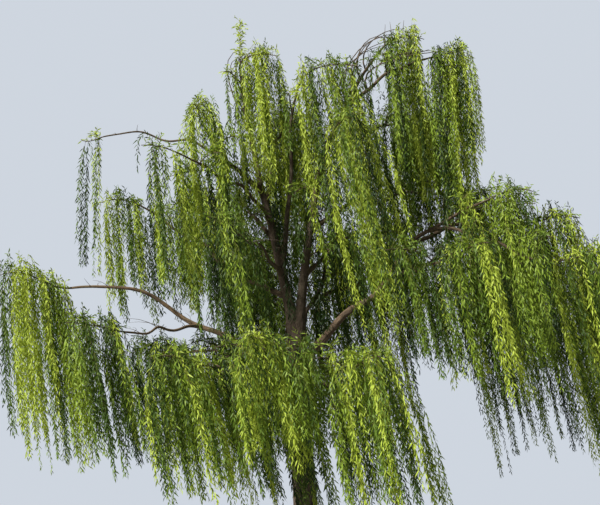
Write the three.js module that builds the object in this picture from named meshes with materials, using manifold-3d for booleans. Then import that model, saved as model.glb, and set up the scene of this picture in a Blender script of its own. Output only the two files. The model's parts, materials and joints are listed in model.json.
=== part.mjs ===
// A weeping willow in leaf: a leaning trunk that forks into two stems, arching limbs that grow from
// them, and at each limb's tip a mass of long hanging withes, combed sideways by a light breeze.
// Millimetres, +Z up. The origin is the centre of the flat cut where the trunk meets the ground,
// +X is the right-hand side as the tree is usually seen, and -Y is its near side.
import * as THREE from "three";
import { mergeVertices } from "three/addons/utils/BufferGeometryUtils.js";
import Module from "manifold-3d";

const wasm = await Module();
wasm.setup();

const radians = THREE.MathUtils.degToRad;
const UP = new THREE.Vector3(0, 0, 1);

// Fits that every piece shares.
const JOINT_GAP = 0.3; // clear gap where a piece meets the one that carries it

// The trunk, from its flat cut to the fork.
const TRUNK = {
  top: [-260, 40, 6150],
  footRadius: 305,
  forkRadius: 225,
  flare: 215, // how far the root flare stands out at the ground
  flareHeight: 380, // height over which the flare dies away to a third
  buttresses: 5,
  buttressDepth: 0.34,
  buttressTurn: 0.6,
  sides: 20,
  stations: [0, 0.012, 0.03, 0.055, 0.1, 0.2, 0.4, 0.6, 0.8, 1],
};

// The limbs, each one tapering limb that ends where it enters its mass. A row holds its name, its
// parent, the share of the parent's length where it leaves, its tip, its diameters at butt and tip,
// its slopes there in degrees above level, and its crook: how far it wanders, as a share of its span.
const LIMBS = [
  ["stem_left", "trunk", 0.965, [-1750, 450, 13250], [300, 56], [80, 84], 0.02],
  ["stem_right", "trunk", 0.955, [1900, 150, 13650], [270, 56], [86, 52], 0.018],
  ["limb_centre", "stem_left", 0.27, [-250, -250, 12450], [150, 52], [72, 70], 0.02],
  ["limb_upper_left", "stem_left", 0.55, [-2550, -450, 11300], [130, 48], [30, 58], 0.03],
  ["limb_far_left", "limb_upper_left", 0.5, [-5050, -300, 11150], [70, 34], [34, -14], 0.03],
  ["limb_left_inner", "stem_left", 0.46, [-2800, -1500, 10200], [105, 46], [32, 12], 0.03],
  ["limb_left_mid", "stem_left", 0.17, [-4050, 300, 9450], [120, 46], [16, 30], 0.035],
  ["limb_left_near", "stem_left", 0.24, [-1650, -2100, 8250], [95, 44], [26, 5], 0.03],
  ["limb_top_near", "stem_right", 0.48, [500, -1400, 10800], [110, 46], [52, 14], 0.03],
  ["limb_upper_right", "stem_right", 0.76, [2950, -400, 13150], [110, 50], [44, 10], 0.02],
  ["limb_right_inner", "stem_right", 0.22, [1500, 1000, 9000], [110, 48], [40, 0], 0.03],
  ["limb_top_back", "stem_left", 0.5, [-500, 1700, 12300], [115, 50], [58, 22], 0.03],
  ["limb_top_back_right", "stem_right", 0.56, [2700, 1600, 12200], [115, 50], [48, 18], 0.03],
  ["limb_back_left_mid", "stem_left", 0.36, [-2250, 2350, 10300], [120, 50], [38, 12], 0.03],
  ["limb_back_right_mid", "stem_right", 0.36, [3650, 2400, 10400], [125, 50], [42, 8], 0.03],
  ["bough_right", "trunk", 0.9, [4050, -1100, 9200], [215, 56], [36, 18], 0.035],
  ["limb_right_outer", "bough_right", 0.66, [5500, 600, 9150], [110, 50], [34, 6], 0.03],
  ["limb_right_far", "bough_right", 0.78, [5500, -2100, 7600], [95, 48], [6, -8], 0.025],
  ["limb_right_near", "bough_right", 0.46, [3000, -3300, 7350], [105, 48], [16, 0], 0.03],
  ["limb_right_low", "limb_right_outer", 0.5, [7000, 2400, 7500], [85, 44], [0, -10], 0.03],
  ["bough_left", "trunk", 0.79, [-5650, -650, 7250], [180, 54], [34, -10], 0.022],
  ["limb_left_low", "bough_left", 0.46, [-4100, -2500, 5900], [80, 42], [-4, -2], 0.03],
  ["bough_near_left", "trunk", 0.64, [-2150, -3500, 5000], [125, 48], [34, -2], 0.03],
  ["bough_near", "trunk", 0.72, [-900, -3900, 5300], [110, 46], [30, 0], 0.03],
  ["bough_near_right", "trunk", 0.66, [850, -4050, 4900], [115, 46], [28, -4], 0.03],
  ["bough_back_left", "trunk", 0.76, [-3100, 3500, 6300], [140, 52], [34, 4], 0.03],
  ["bough_back", "trunk", 0.83, [-1500, 4250, 9450], [130, 52], [50, 10], 0.03],
  ["bough_back_right", "trunk", 0.88, [800, 4100, 9500], [145, 52], [50, 10], 0.03],
  ["limb_back_far_right", "bough_back_right", 0.42, [4600, 3900, 9000], [90, 48], [24, 4], 0.03],
].map(([name, parent, at, tip, [butt, end], [launch, arrive], crook]) => {
  return { name, parent, at, tip, butt, end, launch, arrive, crook };
});
const LIMB_RING_SPACING = 1250;
const TAPER_POWER = 0.8; // below 1, so that a limb loses more of its girth near its butt

// The masses of foliage, one at each limb's tip. A row holds its name, its limb, the bearing of its
// stem in degrees from +X towards +Y, half the length and width of its oval in plan, how high its
// stem arches, the height of its lowest withe, its count of withes, and the degrees that its withes
// are blown towards +X from hanging straight.
const MASSES = [
  ["spire", "stem_left", 340, [680, 900], 300, 8500, 4, 6],
  ["top_right", "stem_right", 350, [700, 950], 320, 8800, 5, 5],
  ["top_centre", "limb_centre", 330, [1150, 1000], 400, 7800, 4, 10],
  ["upper_left", "limb_upper_left", 262, [900, 850], 300, 7700, 4, 8],
  ["far_left", "limb_far_left", 178, [380, 220], -160, 7300, 3, 1],
  ["left_inner", "limb_left_inner", 215, [850, 800], 200, 6600, 4, 7],
  ["left_mid", "limb_left_mid", 178, [750, 1000], 300, 6500, 4, 7],
  ["left_near", "limb_left_near", 245, [850, 850], 150, 5500, 4, 8],
  ["top_near", "limb_top_near", 300, [950, 900], 250, 5000, 4, 13],
  ["upper_right", "limb_upper_right", 355, [700, 950], 200, 8200, 4, 4],
  ["right_inner", "limb_right_inner", 350, [900, 900], 200, 6900, 4, 9],
  ["top_back", "limb_top_back", 100, [1100, 1200], 250, 7400, 4, 8],
  ["top_back_right", "limb_top_back_right", 65, [1100, 1200], 250, 8400, 4, 6],
  ["back_left_mid", "limb_back_left_mid", 140, [1100, 1100], 250, 7300, 4, 8],
  ["back_right_mid", "limb_back_right_mid", 35, [1200, 1250], 250, 6500, 4, 10],
  ["right", "bough_right", 345, [850, 1000], 400, 4400, 4, 10],
  ["right_outer", "limb_right_outer", 5, [900, 1200], 300, 3600, 4, 11],
  ["right_far", "limb_right_far", 345, [1050, 1150], 200, 2700, 4, 12],
  ["right_near", "limb_right_near", 300, [950, 1000], 200, 4000, 4, 11],
  ["right_low", "limb_right_low", 30, [950, 1150], 150, 3000, 4, 12],
  ["left", "bough_left", 186, [1100, 1300], 500, 2900, 5, 9],
  ["left_low", "limb_left_low", 220, [950, 1050], 100, 2700, 4, 12],
  ["near_left", "bough_near_left", 235, [1000, 1100], 100, 2100, 4, 12],
  ["near", "bough_near", 262, [950, 1050], 80, 2600, 4, 10],
  ["near_right", "bough_near_right", 290, [1000, 1100], 80, 1500, 4, 12],
  ["back_left", "bough_back_left", 150, [1250, 1400], 250, 3200, 4, 10],
  ["back", "bough_back", 105, [1250, 1400], 250, 3000, 4, 10],
  ["back_right", "bough_back_right", 78, [1250, 1400], 250, 3000, 4, 10],
  ["back_far_right", "limb_back_far_right", 42, [1250, 1350], 250, 3100, 4, 10],
].map(([name, limb, bearing, [length, width], lift, hem, withes, blown]) => {
  const breeze = Math.tan(radians(blown));
  return { name: `foliage_${name}`, limb, bearing, length, width, lift, hem, withes, breeze };
});

// Straight twigs that stand up from the start of two masses, leafy or bare.
const SHOOTS = {
  foliage_spire: { count: 1, length: 1000, leafy: true },
  foliage_top_right: { count: 3, length: 620, leafy: false },
};

// The stem and the space of a mass.
const STEM_RUN = 1.55; // length of its stem in plan, as a share of the half oval
const STEM_PIECES = 4;
const OVAL_AHEAD = 0.8; // how far the oval's centre lies ahead of the limb's tip
const OVAL_RIM = 1.12; // how far out a twig may reach, as a share of the half ovals
const SPACE_MARGIN = 0.085; // gap kept between two masses, as a share of the half ovals
const HEADROOM = 600; // height of a mass's space above its stem
const FOOTROOM = 250; // depth of its space below its lowest withe
const LIMB_CLEARANCE = 100; // gap kept between the middle of a twig or spray and a limb

// Twigs and leaves.
const WITHE_RADIUS = 17;
const SLIVER = 4; // detail finer than this, left by fusing twigs, is smoothed away
const WITHE_STATIONS = [0, 0.09, 0.2, 0.45, 0.7, 1]; // shares of its length where a withe has a ring
const WITHE_SWAY = 60;
const STEM_BERTH = 120; // how far to the side of its stem the innermost withe hangs
const WITHE_TRIES = 20; // places of a mass that are tried for its withes
const FIRST_OUT = 0.95; // how far out the first withe is, as a share of the oval's area inside it
const OUT_STEP = 0.569840291; // steps from one withe's place to the next, out and round the oval,
const TURN_STEP = 0.7548776662; // that never fall into rows
const ARCH_RISE = 90; // least rise of a withe before it hangs
const RISE_SHARE = 0.16; // and how much more, as a share of its reach
const RAGGED = 0.3; // share of a mass's drop by which its withes' ends differ
const DRAWN_UP = [1, 0.85, 0.7, 0.55]; // shares of its drop that a withe tries in turn
const BARE_RINGS = 2; // rings of a withe before the first that bears a leaf spray
const SPRAY = { length: 1300, width: 220, thickness: 80, angle: radians(12) };
const SHOOT_SPRAY = { length: 330, width: 70, thickness: 22 };
const GOLDEN_ANGLE = 2.399963;

// The fractional part of a number.
const part = (x) => x - Math.floor(x);

// A repeatable number from 0 to 1 for a whole-number key and lane.
const chance = (key, lane) => part(Math.sin(key * 12.9898 + lane * 78.233) * 43758.5453);

// Even shares from 0 to 1.
const evenShares = (count) => Array.from({ length: count + 1 }, (_, i) => i / count);

// A unit vector along a bearing, level or sloping up, both in radians.
function heading(bearing, slope = 0) {
  return new THREE.Vector3(
    Math.cos(bearing) * Math.cos(slope),
    Math.sin(bearing) * Math.cos(slope),
    Math.sin(slope),
  );
}

// A cubic arch from start to end with given slopes, that wanders sideways and up by a crook which
// dies away at both ends.
class LimbCurve extends THREE.Curve {
  constructor(start, end, launch, arrive, crook, key) {
    super();
    const span = start.distanceTo(end);
    const bearing = Math.atan2(end.y - start.y, end.x - start.x);
    this.arch = new THREE.CubicBezierCurve3(
      start,
      start.clone().addScaledVector(heading(bearing, radians(launch)), span * 0.36),
      end.clone().addScaledVector(heading(bearing, radians(arrive)), -span * 0.34),
      end,
    );
    this.side = heading(bearing + Math.PI / 2);
    this.reach = span * crook;
    this.turn = 2 * Math.PI * chance(key, 1);
  }
  getPoint(t, target = new THREE.Vector3()) {
    const fade = Math.sin(Math.PI * t) ** 2 * this.reach;
    return target
      .copy(this.arch.getPoint(t))
      .addScaledVector(this.side, fade * Math.sin(3 * Math.PI * t + this.turn))
      .addScaledVector(UP, fade * Math.sin(4.2 * Math.PI * t + 2 * this.turn));
  }
}

// A withe: it runs out from start by a level vector, rising a little, then hangs down by drop and is
// blown towards +X by the breeze as it falls.
class WitheCurve extends THREE.Curve {
  constructor(start, out, rise, drop, sway, breeze) {
    super();
    Object.assign(this, { start, out, rise, drop, sway, breeze });
  }
  getPoint(t, target = new THREE.Vector3()) {
    const gone = 1 - (1 - t) ** 3;
    const lifted = this.rise * 12.2 * t * (1 - t) ** 4;
    const fallen = this.drop * t ** 1.5;
    target.copy(this.start).addScaledVector(this.out, gone);
    target.x += this.breeze * (fallen - lifted);
    target.y += this.sway * Math.sin(5 * t) * t;
    target.z += lifted - fallen;
    return target;
  }
}

// A curve drawn in straight pieces, so that what grows from it starts inside its tube.
class PiecewiseCurve extends THREE.Curve {
  constructor(curve, pieces) {
    super();
    Object.assign(this, { curve, places: curve.getPoints(pieces) });
  }
  getPointAt(share, target = new THREE.Vector3()) {
    const reach = share * (this.places.length - 1);
    const i = Math.min(Math.floor(reach), this.places.length - 2);
    return target.lerpVectors(this.places[i], this.places[i + 1], reach - i);
  }
  getTangentAt(share, target) {
    return this.curve.getTangent(share, target);
  }
}

// An indexed geometry with its coinciding points merged and its collapsed faces dropped.
function closedGeometry(places, faces) {
  const geometry = new THREE.BufferGeometry().setFromPoints(places);
  geometry.setIndex(faces.flat());
  const merged = mergeVertices(geometry, 1e-2);
  const index = Array.from(merged.index.array);
  const kept = [];
  for (let i = 0; i < index.length; i += 3) {
    const [a, b, c] = index.slice(i, i + 3);
    if (a !== b && b !== c && c !== a) kept.push(a, b, c);
  }
  return merged.setIndex(kept);
}

// A closed, tapering tube round a curve, with a ring of points at each station, reaching beyond
// both ends by a given length. A last radius of zero closes it in a point.
function taperedTube(curve, stations, sides, radiusAt, beyond = 0) {
  const last = stations.length - 1;
  const places = [];
  const faces = [];
  const centres = [];
  let normal = new THREE.Vector3(0.31, 0.87, 0.38);
  stations.forEach((share, i) => {
    const tangent = curve.getTangentAt(share);
    const past = { 0: -beyond, [last]: beyond }[i] ?? 0;
    const centre = curve.getPointAt(share).addScaledVector(tangent, past);
    centres.push(centre);
    normal = normal.clone().addScaledVector(tangent, -normal.dot(tangent)).normalize();
    const other = tangent.clone().cross(normal);
    for (let k = 0; k < sides; k++) {
      const angle = (2 * Math.PI * k) / sides;
      const radius = radiusAt(share, angle);
      const place = centre.clone().addScaledVector(normal, radius * Math.cos(angle));
      places.push(place.addScaledVector(other, radius * Math.sin(angle)));
    }
  });
  for (let i = 0; i < last; i++) {
    for (let k = 0; k < sides; k++) {
      const a = i * sides + k;
      const b = i * sides + ((k + 1) % sides);
      faces.push([a, b, b + sides], [a, b + sides, a + sides]);
    }
  }
  for (const end of [0, last]) {
    const middle = places.push(centres[end]) - 1;
    for (let k = 0; k < sides; k++) {
      const a = end * sides + k;
      const b = end * sides + ((k + 1) % sides);
      faces.push(end ? [a, b, middle] : [b, a, middle]);
    }
  }
  return closedGeometry(places, faces);
}

// A leaf spray: a long blade of eight faces from its root, widest a little above its middle, with its
// flat side turned to the given direction.
function sprayGeometry(root, along, facing, { length, width, thickness }) {
  const across = along.clone().cross(facing).normalize();
  const face = across.clone().cross(along).normalize();
  const waist = root.clone().addScaledVector(along, length * 0.42);
  const places = [
    root,
    root.clone().addScaledVector(along, length),
    waist.clone().addScaledVector(across, width / 2),
    waist.clone().addScaledVector(across, -width / 2),
    waist.clone().addScaledVector(face, thickness / 2),
    waist.clone().addScaledVector(face, -thickness / 2),
  ];
  const waistEdges = [[2, 4], [4, 3], [3, 5], [5, 2]];
  const faces = waistEdges.flatMap(([a, b]) => [[0, a, b], [1, b, a]]);
  return closedGeometry(places, faces);
}

// A closed geometry as a solid, turned the right way out.
function solidOf(geometry) {
  const numProp = 3;
  const vertProperties = Float32Array.from(geometry.getAttribute("position").array);
  const triVerts = Uint32Array.from(geometry.index.array);
  const solid = new wasm.Manifold(new wasm.Mesh({ numProp, vertProperties, triVerts }));
  if (solid.volume() > 0) return solid;
  for (let i = 0; i < triVerts.length; i += 3) {
    [triVerts[i + 1], triVerts[i + 2]] = [triVerts[i + 2], triVerts[i + 1]];
  }
  return new wasm.Manifold(new wasm.Mesh({ numProp, vertProperties, triVerts }));
}

// The largest body of a solid, so that a loose scrap is dropped and a sealed hollow is filled.
const largestBody = (solid) => solid.decompose().sort((a, b) => b.volume() - a.volume())[0];

// A solid as a named mesh with its material.
function meshOf(name, solid, material) {
  const made = solid.getMesh();
  const places = new Float32Array(made.numVert * 3);
  for (let i = 0; i < made.numVert; i++) {
    places.set(made.vertProperties.subarray(i * made.numProp, i * made.numProp + 3), i * 3);
  }
  const geometry = new THREE.BufferGeometry();
  geometry.setAttribute("position", new THREE.BufferAttribute(places, 3));
  geometry.setIndex(new THREE.BufferAttribute(made.triVerts, 1));
  geometry.computeVertexNormals();
  const mesh = new THREE.Mesh(geometry, material);
  mesh.name = name;
  return mesh;
}

// The trunk's radius, with the buttresses of its root flare.
function trunkRadius(share, angle = 0) {
  const plain = TRUNK.footRadius + (TRUNK.forkRadius - TRUNK.footRadius) * share;
  const fade = Math.exp((-share * TRUNK.top[2]) / TRUNK.flareHeight);
  const lobes = 1 + TRUNK.buttressDepth * Math.cos(TRUNK.buttresses * angle + TRUNK.buttressTurn);
  return plain + TRUNK.flare * fade * lobes;
}

// The curve, radius, stations and sides of the trunk and of every limb, by name. The rows are in
// order, so a parent is there before what grows from it.
const limbs = new Map();
limbs.set("trunk", {
  curve: new LimbCurve(new THREE.Vector3(), new THREE.Vector3(...TRUNK.top), 90, 90, 0, 0),
  radius: trunkRadius,
  stations: TRUNK.stations,
  sides: TRUNK.sides,
});
LIMBS.forEach(({ name, parent, at, tip, butt, end, launch, arrive, crook }, i) => {
  const start = limbs.get(parent).curve.getPointAt(at);
  const curve = new LimbCurve(start, new THREE.Vector3(...tip), launch, arrive, crook, i + 1);
  limbs.set(name, {
    curve,
    radius: (share) => (butt + (end - butt) * share ** TAPER_POWER) / 2,
    stations: evenShares(Math.max(5, Math.round(curve.getLength() / LIMB_RING_SPACING))),
    sides: butt > 200 ? 9 : butt > 120 ? 7 : 5,
  });
});

// A limb's solid, grown all round by a given length.
function limbSolid(name, grown = 0) {
  const { curve, radius, stations, sides } = limbs.get(name);
  return solidOf(taperedTube(curve, stations, sides, (share, angle) => radius(share, angle) + grown, grown));
}

// Places along every limb with the limb's radius there, for keeping twigs off them.
const limbPlaces = [...limbs.values()].flatMap(({ curve, radius }) =>
  evenShares(Math.ceil(curve.getLength() / 120)).map((share) => {
    return { place: curve.getPointAt(share), radius: radius(share) };
  }),
);

// A mass with its frame: its stem, which runs on from the limb's tip and arches over, and the centre
// of its oval in plan at the height of that tip.
function massFrame(row) {
  const limb = limbs.get(row.limb);
  const ahead = heading(radians(row.bearing));
  const side = heading(radians(row.bearing) + Math.PI / 2);
  const tangent = limb.curve.getTangentAt(1);
  const start = limb.curve.getPointAt(1).addScaledVector(tangent, JOINT_GAP);
  const run = row.length * STEM_RUN;
  const end = start.clone().addScaledVector(ahead, run).addScaledVector(UP, row.lift * 0.55);
  const arch = new THREE.CubicBezierCurve3(
    start,
    start.clone().addScaledVector(tangent, run * 0.35),
    end.clone().addScaledVector(ahead, -run * 0.4).addScaledVector(UP, row.lift * 0.6),
    end,
  );
  const stem = new PiecewiseCurve(arch, STEM_PIECES);
  const centre = start.clone().addScaledVector(ahead, row.length * OVAL_AHEAD);
  const top = start.z + row.lift + HEADROOM;
  return { ...row, ahead, side, start, stem, centre, top, butt: limb.radius(1) };
}
const frames = MASSES.map(massFrame);

// How far out a place is in a mass's oval, which moves with the breeze as the withes hang: 0 at its
// centre and 1 on its rim.
function ovalShare({ ahead, side, start, centre, length, width, breeze }, place) {
  const x = place.x - breeze * (start.z - place.z) - centre.x;
  const y = place.y - centre.y;
  return Math.hypot((x * ahead.x + y * ahead.y) / length, (x * side.x + y * side.y) / width);
}

// True if a place is in the mass's own space: nearer in its oval than in that of any other mass that
// hangs past the same height, and clear of every limb.
function inSpace(frame, place) {
  const own = ovalShare(frame, place);
  if (own > OVAL_RIM) return false;
  const hangsBy = (other) => place.z > other.hem - FOOTROOM && place.z < other.top;
  const nearer = (other) => ovalShare(other, place) < own + SPACE_MARGIN;
  if (frames.some((other) => other !== frame && hangsBy(other) && nearer(other))) return false;
  return limbPlaces.every((limb) => limb.place.distanceTo(place) > limb.radius + LIMB_CLEARANCE);
}

// A mass's withe number k as a curve: spread evenly over the oval by a fixed sequence, and drawn up
// short until it stays in the mass's space. Null if it never does.
function fittedWithe(frame, key, k) {
  const { ahead, side, length, width, hem, stem } = frame;
  const out = Math.sqrt(part(FIRST_OUT + k * OUT_STEP));
  const turn = 2 * Math.PI * part(k * TURN_STEP + chance(key, 2));
  const along = length * (OVAL_AHEAD + out * Math.cos(turn));
  const swing = Math.sin(turn);
  const across = width * out * swing + STEM_BERTH * Math.sign(swing);
  const start = stem.getPointAt(THREE.MathUtils.clamp(0.15 + (0.44 * along) / length, 0.06, 0.96));
  const goal = frame.start.clone().addScaledVector(ahead, along).addScaledVector(side, across);
  const away = goal.sub(start).setZ(0);
  const shortened = RAGGED * (k === 0 ? 0 : chance(key, 10 + k));
  const drop = (start.z - hem) * (1 - shortened);
  const rise = (ARCH_RISE + RISE_SHARE * away.length()) * (0.6 + 0.9 * chance(key, 80 + k));
  const sway = WITHE_SWAY * (chance(key, 40 + k) - 0.5);
  for (const kept of DRAWN_UP) {
    const curve = new WitheCurve(start, away, rise, drop * kept, sway, frame.breeze);
    if (evenShares(24).every((t) => t < 0.06 || inSpace(frame, curve.getPoint(t)))) return curve;
  }
  return null;
}

// The leaf sprays of one withe, one from each ring but the first few and the last. They point along
// the withe and a little off it, turned round it by the golden angle. A spray that would leave the
// mass's space goes to the withe's other side, or is left out if it would leave it there too.
function spraysOn(frame, curve, key) {
  const length = Math.min(SPRAY.length, curve.getLength() * 0.28);
  const rings = WITHE_STATIONS.slice(BARE_RINGS).map((share) => curve.getPointAt(share));
  return rings.slice(0, -1).flatMap((root, i) => {
    const down = rings[i + 1].clone().sub(root).normalize();
    const off = heading(GOLDEN_ANGLE * (key * 3 + i));
    off.addScaledVector(down, -off.dot(down)).normalize();
    const aims = [SPRAY.angle, -SPRAY.angle].map((angle) =>
      down.clone().multiplyScalar(Math.cos(angle)).addScaledVector(off, Math.sin(angle)),
    );
    const places = (aim) => [0.2, 0.42, 0.7, 1].map((t) => root.clone().addScaledVector(aim, length * t));
    const along = aims.find((aim) => places(aim).every((place) => inSpace(frame, place)));
    return along ? [solidOf(sprayGeometry(root, along, off, { ...SPRAY, length }))] : [];
  });
}

// Straight twigs that stand up from a mass's start, with four short sprays each where leafy.
function shootSolids(frame, key) {
  const { count, length, leafy } = SHOOTS[frame.name] ?? { count: 0 };
  const made = [];
  for (let i = 0; i < count; i++) {
    const root = frame.stem.getPointAt(0.08 + 0.24 * i);
    const lean = heading(2 * Math.PI * chance(key, 60 + i));
    const end = root.clone().addScaledVector(lean, length * 0.12);
    end.addScaledVector(UP, length * (1 - 0.15 * i));
    const curve = new THREE.LineCurve3(root, end);
    const along = end.clone().sub(root).normalize();
    made.push(solidOf(taperedTube(curve, [0, 0.5, 1], 3, (t) => 14 * (1.1 - t))));
    for (const [n, share] of leafy ? [0.25, 0.5, 0.75, 0.95].entries() : []) {
      const off = heading(GOLDEN_ANGLE * n);
      const way = along.clone().multiplyScalar(0.75).addScaledVector(off, 0.5).normalize();
      made.push(solidOf(sprayGeometry(curve.getPoint(share), way, off, SHOOT_SPRAY)));
    }
  }
  return made;
}

// A whole mass: its stem, its withes, their leaf sprays and any shoots, fused into one solid.
function massSolid(frame, key) {
  const stemRadius = (t) => frame.butt * (0.92 - 0.5 * t);
  const pieces = [solidOf(taperedTube(frame.stem, evenShares(STEM_PIECES), 4, stemRadius))];
  const fitted = evenShares(WITHE_TRIES).map((_, k) => fittedWithe(frame, key, k)).filter((curve) => curve);
  fitted.slice(0, frame.withes).forEach((curve, k) => {
    const radius = (t) => (t === 1 ? 0 : WITHE_RADIUS * (1.15 - 0.65 * t));
    pieces.push(solidOf(taperedTube(curve, WITHE_STATIONS, 3, radius)), ...spraysOn(frame, curve, key + k));
  });
  pieces.push(...shootSolids(frame, key));
  return largestBody(largestBody(wasm.Manifold.union(pieces)).simplify(SLIVER));
}

const bark = new THREE.MeshStandardMaterial({ color: 0x4a3a2c, roughness: 0.92, metalness: 0 });
const youngBark = new THREE.MeshStandardMaterial({ color: 0x6b5a3a, roughness: 0.85, metalness: 0 });
const leaf = new THREE.MeshStandardMaterial({ color: 0x6f9430, roughness: 0.6, metalness: 0 });

const willow = new THREE.Group();
willow.name = "willow";
willow.add(meshOf("trunk", limbSolid("trunk"), bark));
// Each limb is cut back by its parent and by the limbs already made that leave the parent beside it.
LIMBS.forEach(({ name, parent, at, butt }, i) => {
  const beside = (other) => other.parent === parent && Math.abs(other.at - at) < 0.1;
  const cutters = [parent, ...LIMBS.slice(0, i).filter(beside).map((other) => other.name)];
  const cut = (solid, cutter) => solid.subtract(limbSolid(cutter, JOINT_GAP));
  const solid = cutters.reduce(cut, limbSolid(name));
  willow.add(meshOf(name, largestBody(solid), butt > 140 ? bark : youngBark));
});
frames.forEach((frame, key) => willow.add(meshOf(frame.name, massSolid(frame, key), leaf)));

export default willow;
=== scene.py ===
"""A weeping willow in leaf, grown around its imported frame.

The trunk and limbs are tapering tubes with the relief of furrowed bark. From each limb's tip the
seeded rule of the solids grows a stem and long hanging withes, carried on here to finer twigs and to
leaves. Metres, +Z up, in the frame's own axes.
"""

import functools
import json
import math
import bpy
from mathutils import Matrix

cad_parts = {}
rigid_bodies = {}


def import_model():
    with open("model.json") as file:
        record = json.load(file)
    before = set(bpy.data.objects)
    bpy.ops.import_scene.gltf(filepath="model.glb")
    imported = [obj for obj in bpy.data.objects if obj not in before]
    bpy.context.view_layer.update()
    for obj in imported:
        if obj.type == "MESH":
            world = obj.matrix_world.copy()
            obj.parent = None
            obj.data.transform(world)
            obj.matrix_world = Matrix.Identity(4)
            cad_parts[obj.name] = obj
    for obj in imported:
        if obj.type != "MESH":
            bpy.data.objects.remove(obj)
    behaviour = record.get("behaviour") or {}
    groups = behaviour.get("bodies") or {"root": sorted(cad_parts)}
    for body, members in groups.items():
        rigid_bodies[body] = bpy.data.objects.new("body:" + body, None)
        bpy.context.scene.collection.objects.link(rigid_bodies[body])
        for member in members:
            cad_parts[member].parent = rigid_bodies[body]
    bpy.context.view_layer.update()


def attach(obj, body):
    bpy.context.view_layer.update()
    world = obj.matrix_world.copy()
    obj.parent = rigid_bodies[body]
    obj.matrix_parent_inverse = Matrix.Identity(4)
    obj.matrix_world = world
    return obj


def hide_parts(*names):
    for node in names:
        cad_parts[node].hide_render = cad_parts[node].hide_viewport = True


bl_info = {
    "name": "Weeping Willow",
    "version": (1, 0, 0),
    "blender": (4, 5, 0),
    "location": "View3D > Sidebar > Willow",
    "description": "Grows a weeping willow in leaf around its packed frame",
    "category": "Add Mesh",
}

from types import SimpleNamespace

import bpy
import numpy as np
from bpy.props import FloatProperty, FloatVectorProperty, IntProperty, PointerProperty

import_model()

UP = np.array([0.0, 0.0, 1.0])
GOLDEN_ANGLE = 2.399963  # the turn from one leaf to the next

# The trunk, from its flat cut to the fork, with the buttresses of its root flare.
TRUNK = SimpleNamespace(
    top=(-0.26, 0.04, 6.15),
    foot_radius=0.305,
    fork_radius=0.225,
    flare=0.215,  # how far the root flare stands out at the ground
    flare_height=0.38,  # height over which the flare dies away to a third
    buttresses=5,
    buttress_depth=0.34,
    buttress_turn=0.6,
    dome=0.2,  # height over which its top is rounded off, inside the fork
    normal=(0.31, 0.87, 0.38),  # the direction that its angles are counted from
)

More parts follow.
